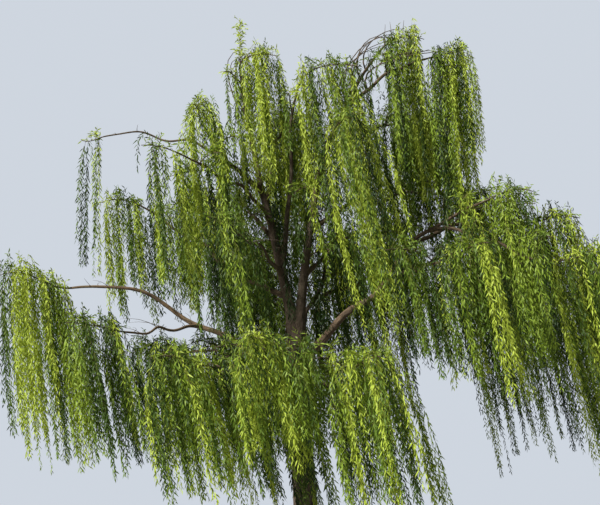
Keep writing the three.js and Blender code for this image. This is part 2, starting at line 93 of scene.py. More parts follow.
# The limbs: name, parent, share of the parent's length where it leaves, tip, diameters at butt and
# tip, slopes there in degrees above level, and its crook, as a share of its span.
LIMBS = (
    ("stem_left", "trunk", 0.965, (-1.75, 0.45, 13.25), (0.3, 0.056), (80, 84), 0.02),
    ("stem_right", "trunk", 0.955, (1.9, 0.15, 13.65), (0.27, 0.056), (86, 52), 0.018),
    ("limb_centre", "stem_left", 0.27, (-0.25, -0.25, 12.45), (0.15, 0.052), (72, 70), 0.02),
    ("limb_upper_left", "stem_left", 0.55, (-2.55, -0.45, 11.3), (0.13, 0.048), (30, 58), 0.03),
    ("limb_far_left", "limb_upper_left", 0.5, (-5.05, -0.3, 11.15), (0.07, 0.034), (34, -14), 0.03),
    ("limb_left_inner", "stem_left", 0.46, (-2.8, -1.5, 10.2), (0.105, 0.046), (32, 12), 0.03),
    ("limb_left_mid", "stem_left", 0.17, (-4.05, 0.3, 9.45), (0.12, 0.046), (16, 30), 0.035),
    ("limb_left_near", "stem_left", 0.24, (-1.65, -2.1, 8.25), (0.095, 0.044), (26, 5), 0.03),
    ("limb_top_near", "stem_right", 0.48, (0.5, -1.4, 10.8), (0.11, 0.046), (52, 14), 0.03),
    ("limb_upper_right", "stem_right", 0.76, (2.95, -0.4, 13.15), (0.11, 0.05), (44, 10), 0.02),
    ("limb_right_inner", "stem_right", 0.22, (1.5, 1.0, 9.0), (0.11, 0.048), (40, 0), 0.03),
    ("limb_top_back", "stem_left", 0.5, (-0.5, 1.7, 12.3), (0.115, 0.05), (58, 22), 0.03),
    ("limb_top_back_right", "stem_right", 0.56, (2.7, 1.6, 12.2), (0.115, 0.05), (48, 18), 0.03),
    ("limb_back_left_mid", "stem_left", 0.36, (-2.25, 2.35, 10.3), (0.12, 0.05), (38, 12), 0.03),
    ("limb_back_right_mid", "stem_right", 0.36, (3.65, 2.4, 10.4), (0.125, 0.05), (42, 8), 0.03),
    ("bough_right", "trunk", 0.9, (4.05, -1.1, 9.2), (0.215, 0.056), (36, 18), 0.035),
    ("limb_right_outer", "bough_right", 0.66, (5.5, 0.6, 9.15), (0.11, 0.05), (34, 6), 0.03),
    ("limb_right_far", "bough_right", 0.78, (5.5, -2.1, 7.6), (0.095, 0.048), (6, -8), 0.025),
    ("limb_right_near", "bough_right", 0.46, (3.0, -3.3, 7.35), (0.105, 0.048), (16, 0), 0.03),
    ("limb_right_low", "limb_right_outer", 0.5, (7.0, 2.4, 7.5), (0.085, 0.044), (0, -10), 0.03),
    ("bough_left", "trunk", 0.79, (-5.65, -0.65, 7.25), (0.18, 0.054), (34, -10), 0.022),
    ("limb_left_low", "bough_left", 0.46, (-4.1, -2.5, 5.9), (0.08, 0.042), (-4, -2), 0.03),
    ("bough_near_left", "trunk", 0.64, (-2.15, -3.5, 5.0), (0.125, 0.048), (34, -2), 0.03),
    ("bough_near", "trunk", 0.72, (-0.9, -3.9, 5.3), (0.11, 0.046), (30, 0), 0.03),
    ("bough_near_right", "trunk", 0.66, (0.85, -4.05, 4.9), (0.115, 0.046), (28, -4), 0.03),
    ("bough_back_left", "trunk", 0.76, (-3.1, 3.5, 6.3), (0.14, 0.052), (34, 4), 0.03),
    ("bough_back", "trunk", 0.83, (-1.5, 4.25, 9.45), (0.13, 0.052), (50, 10), 0.03),
    ("bough_back_right", "trunk", 0.88, (0.8, 4.1, 9.5), (0.145, 0.052), (50, 10), 0.03),
    ("limb_back_far_right", "bough_back_right", 0.42, (4.6, 3.9, 9.0), (0.09, 0.048), (24, 4), 0.03),
)

# The masses of foliage: name, limb, bearing of the stem in degrees, half length and width of the oval,
# lift of the stem, height of the lowest withe, and the degrees that its withes are blown towards +X.
MASSES = (
    ("spire", "stem_left", 340, (0.68, 0.9), 0.3, 8.5, 6),
    ("top_right", "stem_right", 350, (0.7, 0.95), 0.32, 8.8, 5),
    ("top_centre", "limb_centre", 330, (1.15, 1.0), 0.4, 7.8, 10),
    ("upper_left", "limb_upper_left", 262, (0.9, 0.85), 0.3, 7.7, 8),
    ("far_left", "limb_far_left", 178, (0.38, 0.22), -0.16, 7.3, 1),
    ("left_inner", "limb_left_inner", 215, (0.85, 0.8), 0.2, 6.6, 7),
    ("left_mid", "limb_left_mid", 178, (0.75, 1.0), 0.3, 6.5, 7),
    ("left_near", "limb_left_near", 245, (0.85, 0.85), 0.15, 5.5, 8),
    ("top_near", "limb_top_near", 300, (0.95, 0.9), 0.25, 5.0, 13),
    ("upper_right", "limb_upper_right", 355, (0.7, 0.95), 0.2, 8.2, 4),
    ("right_inner", "limb_right_inner", 350, (0.9, 0.9), 0.2, 6.9, 9),
    ("top_back", "limb_top_back", 100, (1.1, 1.2), 0.25, 7.4, 8),
    ("top_back_right", "limb_top_back_right", 65, (1.1, 1.2), 0.25, 8.4, 6),
    ("back_left_mid", "limb_back_left_mid", 140, (1.1, 1.1), 0.25, 7.3, 8),
    ("back_right_mid", "limb_back_right_mid", 35, (1.2, 1.25), 0.25, 6.5, 10),
    ("right", "bough_right", 345, (0.85, 1.0), 0.4, 4.4, 10),
    ("right_outer", "limb_right_outer", 5, (0.9, 1.2), 0.3, 3.6, 11),
    ("right_far", "limb_right_far", 345, (1.05, 1.15), 0.2, 2.7, 12),
    ("right_near", "limb_right_near", 300, (0.95, 1.0), 0.2, 4.0, 11),
    ("right_low", "limb_right_low", 30, (0.95, 1.15), 0.15, 3.0, 12),
    ("left", "bough_left", 186, (1.1, 1.3), 0.5, 2.9, 9),
    ("left_low", "limb_left_low", 220, (0.95, 1.05), 0.1, 2.7, 12),
    ("near_left", "bough_near_left", 235, (1.0, 1.1), 0.1, 2.1, 12),
    ("near", "bough_near", 262, (0.95, 1.05), 0.08, 2.6, 10),
    ("near_right", "bough_near_right", 290, (1.0, 1.1), 0.08, 1.5, 12),
    ("back_left", "bough_back_left", 150, (1.25, 1.4), 0.25, 3.2, 10),
    ("back", "bough_back", 105, (1.25, 1.4), 0.25, 3.0, 10),
    ("back_right", "bough_back_right", 78, (1.25, 1.4), 0.25, 3.0, 10),
    ("back_far_right", "limb_back_far_right", 42, (1.25, 1.35), 0.25, 3.1, 10),
)
FOLIAGE = [f"foliage_{row[0]}" for row in MASSES]  # the masses' nodes

# Straight twigs that stand up from the start of two masses.
SHOOTS = {
    "spire": SimpleNamespace(count=1, length=1.32, leafy=True),
    "top_right": SimpleNamespace(count=3, length=0.62, leafy=False),
}

# Bare arcs that rise from a limb and come over into its mass: how many, the shares of the limb's length
# that bear them, and how far their ends differ in height.
ARCS = {
    "top_right": SimpleNamespace(limb="stem_right", count=6, first=0.72, last=0.93, rise=0.3),
    "spire": SimpleNamespace(limb="stem_left", count=4, first=0.74, last=0.9, rise=0.2),
    "upper_right": SimpleNamespace(limb="limb_upper_right", count=3, first=0.25, last=0.7, rise=0.35),
}

# Between its parent and its mass a limb bears tufts, which are small masses on short stems of their
# own. These are the shares of its length that bear them, where they aren't the usual ones.
TUFT_SPAN = (0.3, 0.95)
TUFT_SPANS = {
    "stem_left": (0.3, 0.97),
    "stem_right": (0.24, 0.68),
    "limb_upper_right": (0.42, 0.97),
    "limb_left_near": (0.6, 0.95),
    "limb_left_mid": (0.55, 0.95),
    "limb_left_inner": (0.5, 0.95),
    "limb_far_left": None,
    "bough_left": None,
    "limb_left_low": None,
    "bough_right": (0.66, 0.95),
    "limb_right_near": (0.7, 0.95),
}

# How many withes a mass has for its size, as a share of the usual number.
FULLNESS = {
    "spire": 1.5, "top_right": 2.1, "top_centre": 1.35, "upper_right": 2.1, "top_near": 1.4,
    "far_left": 2.6, "upper_left": 1.25, "top_back_right": 1.3, "left_near": 0.65, "left_inner": 0.65,
    "left_mid": 0.75, "right": 1.15, "right_near": 1.2, "right_far": 1.2, "right_outer": 1.1,
    "right_low": 1.1, "left": 1.1,
}

# Painted light: how much brighter or darker a mass's leaves are painted than its place makes them, as
# painted sunlight where more than 0 and painted shade where less.
MASS_PAINTED_LIGHT = {
    "spire": 0.3, "left": 0.3, "left_low": 0.1, "near_left": 0.12, "near": 0.1, "near_right": 0.1,
    "far_left": 0.32, "upper_left": 0.05, "left_inner": 0.05, "left_mid": 0.08, "left_near": -0.14,
    "right_outer": 0.1, "right": 0.06, "right_far": 0.1, "top_centre": 0.08,
}

# Painted sunlight: how much of the tan colour a limb's ridges get, standing for the sun on it, where it
# isn't the usual share, and how long its longest bare twigs are, where that isn't 1 m.
USUAL_PAINTED_SUN_TAN = 0.15
PAINTED_SUN_TAN = {"bough_left": 1.0, "limb_left_low": 0.7, "bough_right": 0.45, "limb_right_low": 0.5}
BARE_LENGTHS = {
    "stem_right": 2.1, "limb_upper_right": 1.8, "limb_upper_left": 1.5, "limb_far_left": 0.35,
}

# The rule for limbs.
HANDLES = (0.36, 0.34)  # reach of a limb's handles at butt and tip, as shares of its span
HALF_WAVES = (3, 4.2)  # how often its crook goes to and fro, sideways and up
TAPER_POWER = 0.8  # below 1, so that a limb loses more of its girth near its butt
OLD_BARK_BUTT = 0.14  # a limb with a thicker butt than this has old bark
LIMB_STEP = 0.12  # distance between the places that twigs keep clear of

# The rule for masses, which is that of the solids but for its rim, which is a little narrower here.
JOINT_GAP = 0.0003  # clear gap where a mass's stem meets its limb
STEM_RUN = 1.55  # length of its stem in plan, as a share of the half oval
STEM_HANDLES = (0.35, 0.4)  # reach of the stem's handles, as shares of that length
STEM_LIFTS = (0.55, 0.6)  # height of its end, and of its last handle over that, as shares of its lift
STEM_TAKE_OFF = (0.15, 0.44)  # where on the stem a withe leaves: this, and more the further along it is
STEM_ENDS = (0.06, 0.96)  # the shares of the stem that bear withes
STEM_BERTH = 0.12  # how far to the side of its stem the innermost withe hangs
OVAL_AHEAD = 0.8  # how far the oval's centre lies ahead of the limb's tip
OVAL_RIM = 1.04  # how far out a twig may reach, as a share of the half ovals
SPACE_MARGIN = 0.085  # gap kept between two masses, as a share of the half ovals
HEADROOM = 0.6  # height of a mass's space above its stem
FOOTROOM = 0.25  # depth of its space below its lowest withe
LIMB_CLEARANCE = 0.1  # gap kept between a twig and a limb
LIMB_SEARCH = 0.5  # how far from the twigs limbs are looked for

# The rule for withes, which is that of the solids but for how much their rises differ.
FIRST_OUT = 0.95  # how far out the first withe is, as a share of the oval's area inside it
OUT_STEP = 0.569840291  # steps from one withe's place to the next, out and round the oval,
TURN_STEP = 0.7548776662  # that never fall into rows
ARCH_RISE = 0.09  # least rise of a withe before it hangs,
RISE_SHARE = 0.16  # how much more, as a share of its reach,
RISE_SPREAD = (0.35, 1.5)  # and how much of that by chance
RISE_POWER = 1.5  # above 1, so that few rise high
ARCH_SCALE = 12.2  # brings the highest place of the arch's formula to 1
RAGGED = 0.3  # share of a mass's drop by which its withes' ends differ
DRAWN_UP = (1, 0.85, 0.7, 0.55)  # shares of its drop that a withe tries in turn
FREE_START = 0.06  # share of a withe that may stand outside its mass's space,
TUFT_FREE_START = 0.22  # and of a tuft's withe
TRIED_AT = np.linspace(0, 1, 25)  # shares of a withe where it has to keep to that space,
SIDE_TRIED_AT = np.linspace(0.3, 1, 6)  # and of a side withe
WITHE_SWAY = 0.06  # range of their sway out of line,
SWAY_RATE = 5  # which is a sine of this many radians along each

# What each kind of twig and leaf is grown by, in metres and radians. A pair is the least and how much
# more by chance, unless its comment says otherwise.
TUFT = SimpleNamespace(
    keys=(100, 20),  # the first one's key, and the room for the keys of each limb
    spacing=0.6,  # length of limb for each
    turn=(0.8, 1.1),  # from the limb's direction, to either side
    slope=(0.5, 0.5),
    lift=(0.12, 0.25),
    length=(0.34, 0.32),  # half length of its oval, near the tree's axis
    widening=0.12,  # its growth for each metre away from the axis
    width=0.9,  # as a share of the length
    drop=(1.5, 1.8),
    floor=1.6,  # height that no tuft is meant to hang below
    butt=0.55,  # as a share of the limb's radius,
    thickest=0.017,  # up to this
)
SIDE = SimpleNamespace(
    span=(0.02, 0.8),  # first share of a main withe that bears them, and how much of it does
    reach=(0.05, 0.13),
    narrowing=0.5,  # how much less they reach out near the withe's end
    drop=(0.5, 1.7),
    limit=(0.1, 0.95),  # the drop is no more than this, and this share of the main withe's from there
    tossed_below=0.3,  # the share of a main withe whose side withes may be tossed up,
    toss=0.42,  # by up to this,
    toss_power=1.6,
    toss_reach=5,  # and how much further out they then reach, for each metre of it
    rise=0.25,  # as a share of the reach
    sway=0.05,  # its range
    root=0.0028,
    tip=0.001,
)
BARE = SimpleNamespace(
    spacing=0.34,  # length of limb for each
    span=(0.12, 0.84),  # first share of the limb that bears them, and how much of it does
    turn=(0.5, 1.2),
    slope=(0.2, 0.9),
    length=(0.25, 0.75),  # shares of the longest
    bow=0.16,  # its range
    droop=0.3,  # as a share of the length
    root=0.008,
    thickening=0.7,  # the power of the twigs' length that a root grows by
    tip=0.0018,
)
ARC = SimpleNamespace(
    end=(0.05, 0.6),  # where on the stem they end
    across=0.7,  # how far their ends stand apart, as a share of the mass's width
    level=0.2,  # share of their rise that lies below the stem
    handle=0.4,  # reach of both handles, as a share of the span,
    back=(-0.05, 0.3),  # how far back the first one stands,
    lift=(-0.15, 0.3),  # and how far up the second one does
    root=0.024,
    tip=0.006,
)
SPUR = SimpleNamespace(
    span=(0.1, 0.85),  # first share of a stem that bears them, and how much of it does
    slope=(0.4, 0.9),
    size=0.58,
    length=(0.4, 0.6),  # shares of the size
    droop=0.3,  # as a share of the size
    root=0.004,
    tip=0.0012,
)
SHOOT = SimpleNamespace(
    root=0.012,
    tip=0.004,
    first=0.08,  # where on the stem the first stands, and how far on the next
    next=0.24,
    lean=0.12,  # as a share of the length
    shorter=0.15,  # how much less each next one is
)
SPIKE = SimpleNamespace(key=7, spurs=58, size=0.26, root=0.003)  # the spurs of a leafy shoot
LEAF = SimpleNamespace(
    bare=0.03,  # share of a twig before its first leaf
    jitter=0.6,  # range of a leaf's place about the even one, as a share of the spacing
    angle=(16, 38),  # degrees from the twig
    length=(0.62, 0.55),  # shares of the length in the settings
    shorter=0.3,  # how much less a leaf is at the twig's tip
    droop=(0.25, 0.35),
    tilt=(-0.3, 0.6),
    width=(0.8, 0.4),  # shares of the width in the settings
    key_step=0.37,  # from one leaf's key to the next
    through=(1.35, 1.25, 0.6),  # its colour in the light that comes through, as shares of its own
)
# A leaf's outline is a narrow sickle: shares of its length and of its half width, for its root, three
# points on its edges and its tip.
LEAF_ALONG = np.array([0, 0.27, 0.44, 0.7, 1])[:, None]
LEAF_ACROSS = np.array([0, -1, 1, -0.6, 0.15])[:, None]
LEAF_FACES = np.array([[0, 2, 1], [1, 2, 3], [3, 2, 4]])

MAIN_ROOT = (0.0045, 0.0008)  # root radius of a main withe, and its growth for each metre of drop
MAIN_TIP = 0.0012  # and its tip radius
STEM_SHARE = 0.98  # root radius of a mass's stem as a share of its limb's
STEM_TIP = 0.009  # and its tip radius

# Painted light: how bright a strand's leaves are painted, which only says how strands of leaves compare:
# painted sunlight towards the near side and higher up and painted shade away from them, with tone that
# differs by chance from mass to mass, withe to withe and side withe to side withe.
LIGHT = SimpleNamespace(
    near=0.025,  # painted sunlight for each metre towards the near side
    high=0.03,  # painted sunlight for each metre up
    mass=0.2,  # spread by chance from mass to mass,
    withe=0.9,  # from withe to withe
    side=0.12,  # and from side withe to side withe
    spur=0.15,  # painted highlight: how much brighter spurs and shoots are
    shoot=0.2,
)

# Shares of its length where each kind of twig has a ring.
STEM_STEPS = np.linspace(0, 1, 15)
MAIN_STEPS = np.array([0, 0.03, 0.08, 0.15, 0.24, 0.36, 0.5, 0.66, 0.82, 1])
SIDE_STEPS = np.array([0, 0.12, 0.4, 1])
SHOOT_STEPS = np.array([0, 0.25, 0.5, 0.75, 1])
SPUR_STEPS = np.array([0, 0.35, 0.7, 1])
ARC_STEPS = np.linspace(0, 1, 9)

# The pieces of twigs: each kind's sides, and the power of the way along by which it thins.
WOODY = {"stem": (8, 0.9), "main": (3, 0.5), "shoot": (5, 1), "bare": (4, 1), "arc": (6, 1)}
GREEN = {"side": (3, 1), "spur": (3, 1)}
LEAFY = ("main", "side", "shoot", "spur")
# Painted light: the leaf colours from darkest to palest, dealt out by strand brightness, so the darker ones
# carry painted shade and the paler ones painted sunlight, with tone that differs by chance.
LEAF_TONES = ("deep", "green", "fresh", "sunlit", "pale")

# The bark's relief. Furrows and the finer fissures have cells of noise along the limb for each furrow's
# width, a steepness, a share of the depth, and a push sideways by the noise that makes them wander.
FURROW = SimpleNamespace(cells=0.24, steep=3.2, share=0.7, push=2.4)
FISSURE = SimpleNamespace(cells=0.7, steep=2.4, share=0.3, push=3)
WANDER_CELLS = 0.3
FURROW_POWER = 0.7  # rounds the ridges off
BARK_LEVEL = 0.6  # height of the relief that lies on the limb's own radius
SIDES_PER_FURROW = 6
LEAST_SIDES = 10
LEAST_FURROWS = 4
LIMB_RINGS = 1.6  # spacing of a limb's rings, as a share of the trunk's
GIRTH_AT = 0.15  # where a limb's girth is measured for its furrows, as a share of its length

# A limb swells where it leaves its parent: the share of the parent's radius that hides its butt, how
# much wider it is there, and how many diameters on that dies away to a third.
COLLAR = SimpleNamespace(hidden=0.8, swell=0.5, reach=1.6)
SKIN_HEIGHT = 0.28  # share of the height that patterns on the bark see, so that they are drawn out

# The stage.
KEY_LIGHT_COLOUR = (1.0, 0.96, 0.88)
SENSOR_WIDTH = 36  # in millimetres
FARTHEST_SEEN = 1000  # in metres
FLOOR_SIDES = 96


def chance(key, lane):
    """A repeatable number from 0 to 1 for a key and a lane: the fraction of a large multiple of a sine.
    Each use has lanes of its own."""
    wave = np.sin(key * 12.9898 + lane * 78.233) * 43758.5453
    return wave - np.floor(wave)


def drawn(pair, key, lane, power=1):
    """The least of a pair and, by chance, up to its second number more."""
    return pair[0] + pair[1] * chance(key, lane) ** power


def heading(bearing, slope=0.0):
    """Unit vectors along a bearing, sloping up, both in radians."""
    bearing, slope = np.broadcast_arrays(bearing, slope)
    level = np.cos(slope)
    return np.stack([np.cos(bearing) * level, np.sin(bearing) * level, np.sin(slope)], -1)


def unit(vectors):
    """Vectors brought to length 1."""
    return vectors / np.linalg.norm(vectors, axis=-1, keepdims=True)


def bezier(a, b, c, d, t):
    """Places on the cubic curve from a to d with handles b and c, at shares t."""
    t = np.asarray(t, float)[..., None]
    s = 1 - t
    return a * s**3 + 3 * b * s**2 * t + 3 * c * s * t**2 + d * t**3


class Route:
    """A curve, given by a formula of t from 0 to 1, asked for by share of its length."""

    STEPS = 201
    NUDGE = 1e-4

    def __init__(self, formula):
        self.formula = formula
        self.steps = np.linspace(0, 1, self.STEPS)
        runs = np.linalg.norm(np.diff(formula(self.steps), axis=0), axis=1)
        self.run = np.concatenate([[0], np.cumsum(runs)])
        self.length = self.run[-1]

    def at(self, share):
        """Places at shares of the length."""
        return self.formula(np.interp(np.asarray(share) * self.length, self.run, self.steps))

    def along(self, share):
        """Unit tangents at shares of the length, from a place just before to one just after."""
        t = np.interp(np.asarray(share) * self.length, self.run, self.steps)
        ahead, behind = np.clip(t + self.NUDGE, 0, 1), np.clip(t - self.NUDGE, 0, 1)
        return unit(self.formula(ahead) - self.formula(behind))


def limb_route(start, end, launch, arrive, crook, key):
    """A cubic arch with given slopes at its ends, that wanders sideways and up by sines of a reach
    which dies away at both ends as the square of a sine. Returns it and the direction across it."""
    span = np.linalg.norm(end - start)
    bearing = math.atan2(end[1] - start[1], end[0] - start[0])
    first = start + heading(bearing, math.radians(launch)) * span * HANDLES[0]
    last = end - heading(bearing, math.radians(arrive)) * span * HANDLES[1]
    side = heading(bearing + math.pi / 2)
    turn = 2 * math.pi * chance(key, 1)

    def formula(t):
        t = np.asarray(t, float)
        fade = (np.sin(math.pi * t) ** 2 * span * crook)[..., None]
        across = side * np.sin(HALF_WAVES[0] * math.pi * t + turn)[..., None]
        rise = UP * np.sin(HALF_WAVES[1] * math.pi * t + 2 * turn)[..., None]
        return bezier(start, first, last, end, t) + fade * (across + rise)

    return Route(formula), side


def trunk_radius(share, angle=0.0):
    """The trunk's radius: an even taper, and a flare that dies away with height in lobes of a cosine."""
    plain = TRUNK.foot_radius + (TRUNK.fork_radius - TRUNK.foot_radius) * share
    fade = np.exp(-share * TRUNK.top[2] / TRUNK.flare_height)
    lobes = 1 + TRUNK.buttress_depth * np.cos(TRUNK.buttresses * angle + TRUNK.buttress_turn)
    return plain + TRUNK.flare * fade * lobes


@functools.cache
def grown_limbs():
    """The route and radius of the trunk and of every limb, by name, each limb after its parent. A
    limb's radius goes from butt to tip by a power of the way along."""
    route, _ = limb_route(np.zeros(3), np.array(TRUNK.top), 90, 90, 0, 0)
    limbs = {"trunk": SimpleNamespace(route=route, radius=trunk_radius, side=np.array(TRUNK.normal), key=0)}
    for key, (name, parent, at, tip, (butt, end), (launch, arrive), crook) in enumerate(LIMBS, 1):
        start = limbs[parent].route.at(at)
        route, side = limb_route(start, np.array(tip), launch, arrive, crook, key)

        def radius(share, angle=0.0, butt=butt, end=end):
            return (butt + (end - butt) * share**TAPER_POWER) / 2 + 0 * angle

        bury = float(limbs[parent].radius(at))
        limbs[name] = SimpleNamespace(route=route, radius=radius, side=side, key=key, butt=butt, bury=bury)
    return limbs


@functools.cache
def limb_places():
    """Places spaced evenly along every limb, with the limb's radius there."""
    places, radii = [], []
    for limb in grown_limbs().values():
        share = np.linspace(0, 1, math.ceil(limb.route.length / LIMB_STEP) + 1)
        places.append(limb.route.at(share))
        radii.append(limb.radius(share))
    return np.concatenate(places), np.concatenate(radii)


def mass_frame(key, name, start, tangent, bearing, length, width, lift, hem, breeze, butt):
    """A mass with its oval and its stem, which sets out along the tangent and arches over."""
    ahead = heading(bearing)
    run = length * STEM_RUN
    end = start + ahead * run + UP * lift * STEM_LIFTS[0]
    first = start + tangent * run * STEM_HANDLES[0]
    last = end - ahead * run * STEM_HANDLES[1] + UP * lift * STEM_LIFTS[1]
    return SimpleNamespace(
        key=key, name=name, ahead=ahead, side=heading(bearing + math.pi / 2), start=start,
        stem=functools.partial(bezier, start, first, last, end), length=length, width=width, hem=hem,
        centre=start + ahead * length * OVAL_AHEAD, top=start[2] + lift + HEADROOM, breeze=breeze,
        butt=butt,
    )


@functools.cache
def mass_frames():
    """Each mass, on a stem that runs on from its limb's tip."""
    frames = []
    for key, (name, limb_name, bearing, (length, width), lift, hem, blown) in enumerate(MASSES):
        limb = grown_limbs()[limb_name]
        tangent = limb.route.along(1.0)
        start = limb.route.at(1.0) + tangent * JOINT_GAP
        frames.append(mass_frame(
            key, name, start, tangent, math.radians(bearing), length, width, lift, hem,
            math.tan(math.radians(blown)), float(limb.radius(1.0)),
        ))
    return frames


@functools.cache
def tuft_frames():
    """The tufts along the limbs: each sets out to one side and up, and hangs as its limb's mass does."""
    breezes = {row[1]: math.tan(math.radians(row[6])) for row in MASSES}
    frames = []
    for name, limb in grown_limbs().items():
        span = TUFT_SPANS.get(name, TUFT_SPAN)
        if name == "trunk" or not span:
            continue
        first, last = span
        count = round((last - first) * limb.route.length / TUFT.spacing)
        for i in range(count):
            key = TUFT.keys[0] + TUFT.keys[1] * limb.key + i
            share = first + (last - first) * (i + chance(key, 1)) / count
            start, along = limb.route.at(share), limb.route.along(share)
            bearing = math.atan2(along[1], along[0]) + (1 if i % 2 else -1) * drawn(TUFT.turn, key, 2)
            length = drawn(TUFT.length, key, 4) * (1 + TUFT.widening * math.hypot(start[0], start[1]))
            frames.append(mass_frame(
                key, "tuft", start, heading(bearing, drawn(TUFT.slope, key, 6)), bearing, length,
                length * TUFT.width, drawn(TUFT.lift, key, 3),
                max(start[2] - drawn(TUFT.drop, key, 5), TUFT.floor), breezes[name],
                min(TUFT.butt * float(limb.radius(share)), TUFT.thickest),
            ))
    return frames


def oval_share(mass, places):
    """How far out places are in a mass's oval, which slides with the breeze as it goes down: 0 at its
    centre and 1 on its rim."""
    x = places[..., 0] - mass.breeze * (mass.start[2] - places[..., 2]) - mass.centre[0]
    y = places[..., 1] - mass.centre[1]
    along = (x * mass.ahead[0] + y * mass.ahead[1]) / mass.length
    across = (x * mass.side[0] + y * mass.side[1]) / mass.width
    return np.hypot(along, across)


def in_space(mass, places):
    """True where places are in the mass's own space: nearer in its oval than in that of any other mass
    that hangs past the same height, and clear of every limb. A tuft gives way to every mass."""
    own = oval_share(mass, places)
    inside = own <= OVAL_RIM
    height = places[..., 2]
    for other in mass_frames():
        if other is not mass:
            hangs_by = (height > other.hem - FOOTROOM) & (height < other.top)
            inside &= ~(hangs_by & (oval_share(other, places) < own + SPACE_MARGIN))
    flat = places.reshape(-1, 3)
    stems, radii = limb_places()
    near = ((stems > flat.min(0) - LIMB_SEARCH) & (stems < flat.max(0) + LIMB_SEARCH)).all(1)
    apart = np.square(flat[:, None] - stems[near]).sum(-1) > (radii[near] + LIMB_CLEARANCE) ** 2
    return inside & apart.all(1).reshape(inside.shape)


def withe_places(withes, t):
    """Places along withes, a row for each: out from the start by away, slowing to a stop as the cube of
    1 - t; up by rise and back; down by drop times t to the power 1.5; and blown towards +X by the
    breeze for each metre that it falls."""
    t = np.asarray(t, float)
    gone = 1 - (1 - t) ** 3
    lifted = withes.rise[:, None] * ARCH_SCALE * t * (1 - t) ** 4
    fallen = withes.drop[:, None] * t**1.5
    places = withes.start[:, None] + withes.away[:, None] * gone[..., None]
    places[..., 0] += withes.breeze * (fallen - lifted)
    places[..., 1] += withes.sway[:, None] * np.sin(SWAY_RATE * t) * t
    places[..., 2] += lifted - fallen
    return places


def picked(withes, rows):
    """The same withes, but only those rows."""
    arrays = {k: v[rows] if isinstance(v, np.ndarray) and v.ndim else v for k, v in vars(withes).items()}
    return SimpleNamespace(**arrays)


def fitted(mass, withes):
    """Withes drawn up short until they stay in the mass's space, without those that never do. Their
    first part is free, because it is where they leave the stem."""
    free = TRIED_AT < (TUFT_FREE_START if mass.name == "tuft" else FREE_START)
    kept = np.zeros(len(withes.drop))
    for share in DRAWN_UP:
        left = np.flatnonzero(kept == 0)
        if len(left):
            tried = picked(withes, left)
            tried.drop = tried.drop * share
            inside = in_space(mass, withe_places(tried, TRIED_AT)) | free
            kept[left[inside.all(1)]] = share
    withes.drop = withes.drop * kept
    return picked(withes, kept > 0)


def main_withes(mass, count):
    """The withes that hang from a mass's stem, their places spread evenly over its oval by two steps
    that never fall into rows."""
    k = np.arange(count)
    out = np.sqrt((FIRST_OUT + k * OUT_STEP) % 1)
    turn = 2 * math.pi * ((k * TURN_STEP + chance(mass.key, 2)) % 1)
    along = mass.length * (OVAL_AHEAD + out * np.cos(turn))
    swing = np.sin(turn)
    across = mass.width * out * swing + STEM_BERTH * np.sign(swing)
    taken_off = STEM_TAKE_OFF[0] + STEM_TAKE_OFF[1] * along / mass.length
    start = mass.stem(np.clip(taken_off, *STEM_ENDS))
    away = mass.start + mass.ahead * along[:, None] + mass.side * across[:, None] - start
    away[:, 2] = 0
    shortened = RAGGED * np.where(k == 0, 0, chance(mass.key, 10 + k))
    rise = ARCH_RISE + RISE_SHARE * np.linalg.norm(away, axis=1)
    return fitted(mass, SimpleNamespace(
        start=start, away=away, rise=rise * drawn(RISE_SPREAD, mass.key, 80 + k, RISE_POWER),
        drop=(start[:, 2] - mass.hem) * (1 - shortened), breeze=mass.breeze, k=k,
        sway=WITHE_SWAY * (chance(mass.key, 40 + k) - 0.5),
    ))


def side_withes(mass, mains, each):
    """Finer twigs by the same rule: each main withe bears some, spread down most of its length, which
    reach out a little way and hang beside it, ending hardly lower than it does. Some of the uppermost
    are tossed up and out."""
    parent = np.repeat(np.arange(len(mains.k)), each)
    order = np.tile(np.arange(each), len(mains.k))
    seed = mains.k[parent] * each + order
    t = SIDE.span[0] + SIDE.span[1] * (order + chance(mass.key + 50, seed)) / each
    own = picked(mains, parent)
    reach = SIDE.reach[0] + SIDE.reach[1] * chance(mass.key + 51, seed) * (1 - SIDE.narrowing * t)
    left = own.drop * (1 - t**1.5)
    tossed = SIDE.toss * chance(mass.key + 55, seed) ** SIDE.toss_power
    tossed = np.where(t < SIDE.tossed_below, tossed, 0)
    away = heading(2 * math.pi * chance(mass.key + 52, seed)) * reach[:, None]
    withes = SimpleNamespace(
        start=withe_places(own, t[:, None])[:, 0], away=away * (1 + SIDE.toss_reach * tossed)[:, None],
        rise=SIDE.rise * reach + tossed, breeze=mass.breeze, k=seed, parent=parent,
        drop=np.minimum(drawn(SIDE.drop, mass.key + 53, seed), SIDE.limit[0] + SIDE.limit[1] * left),
        sway=SIDE.sway * (chance(mass.key + 54, seed) - 0.5),
    )
    return picked(withes, in_space(mass, withe_places(withes, SIDE_TRIED_AT)).all(1))


def shoot_places(mass, t):
    """Straight twigs that stand up from the start of a mass's stem, leaning a little."""
    shoots = SHOOTS[mass.name]
    i = np.arange(shoots.count)
    root = mass.stem(SHOOT.first + SHOOT.next * i)
    lean = heading(2 * math.pi * chance(mass.key, 60 + i)) * shoots.length * SHOOT.lean
    reach = lean + UP * (shoots.length * (1 - SHOOT.shorter * i))[:, None]
    return root[:, None] + reach[:, None] * np.asarray(t, float)[:, None]


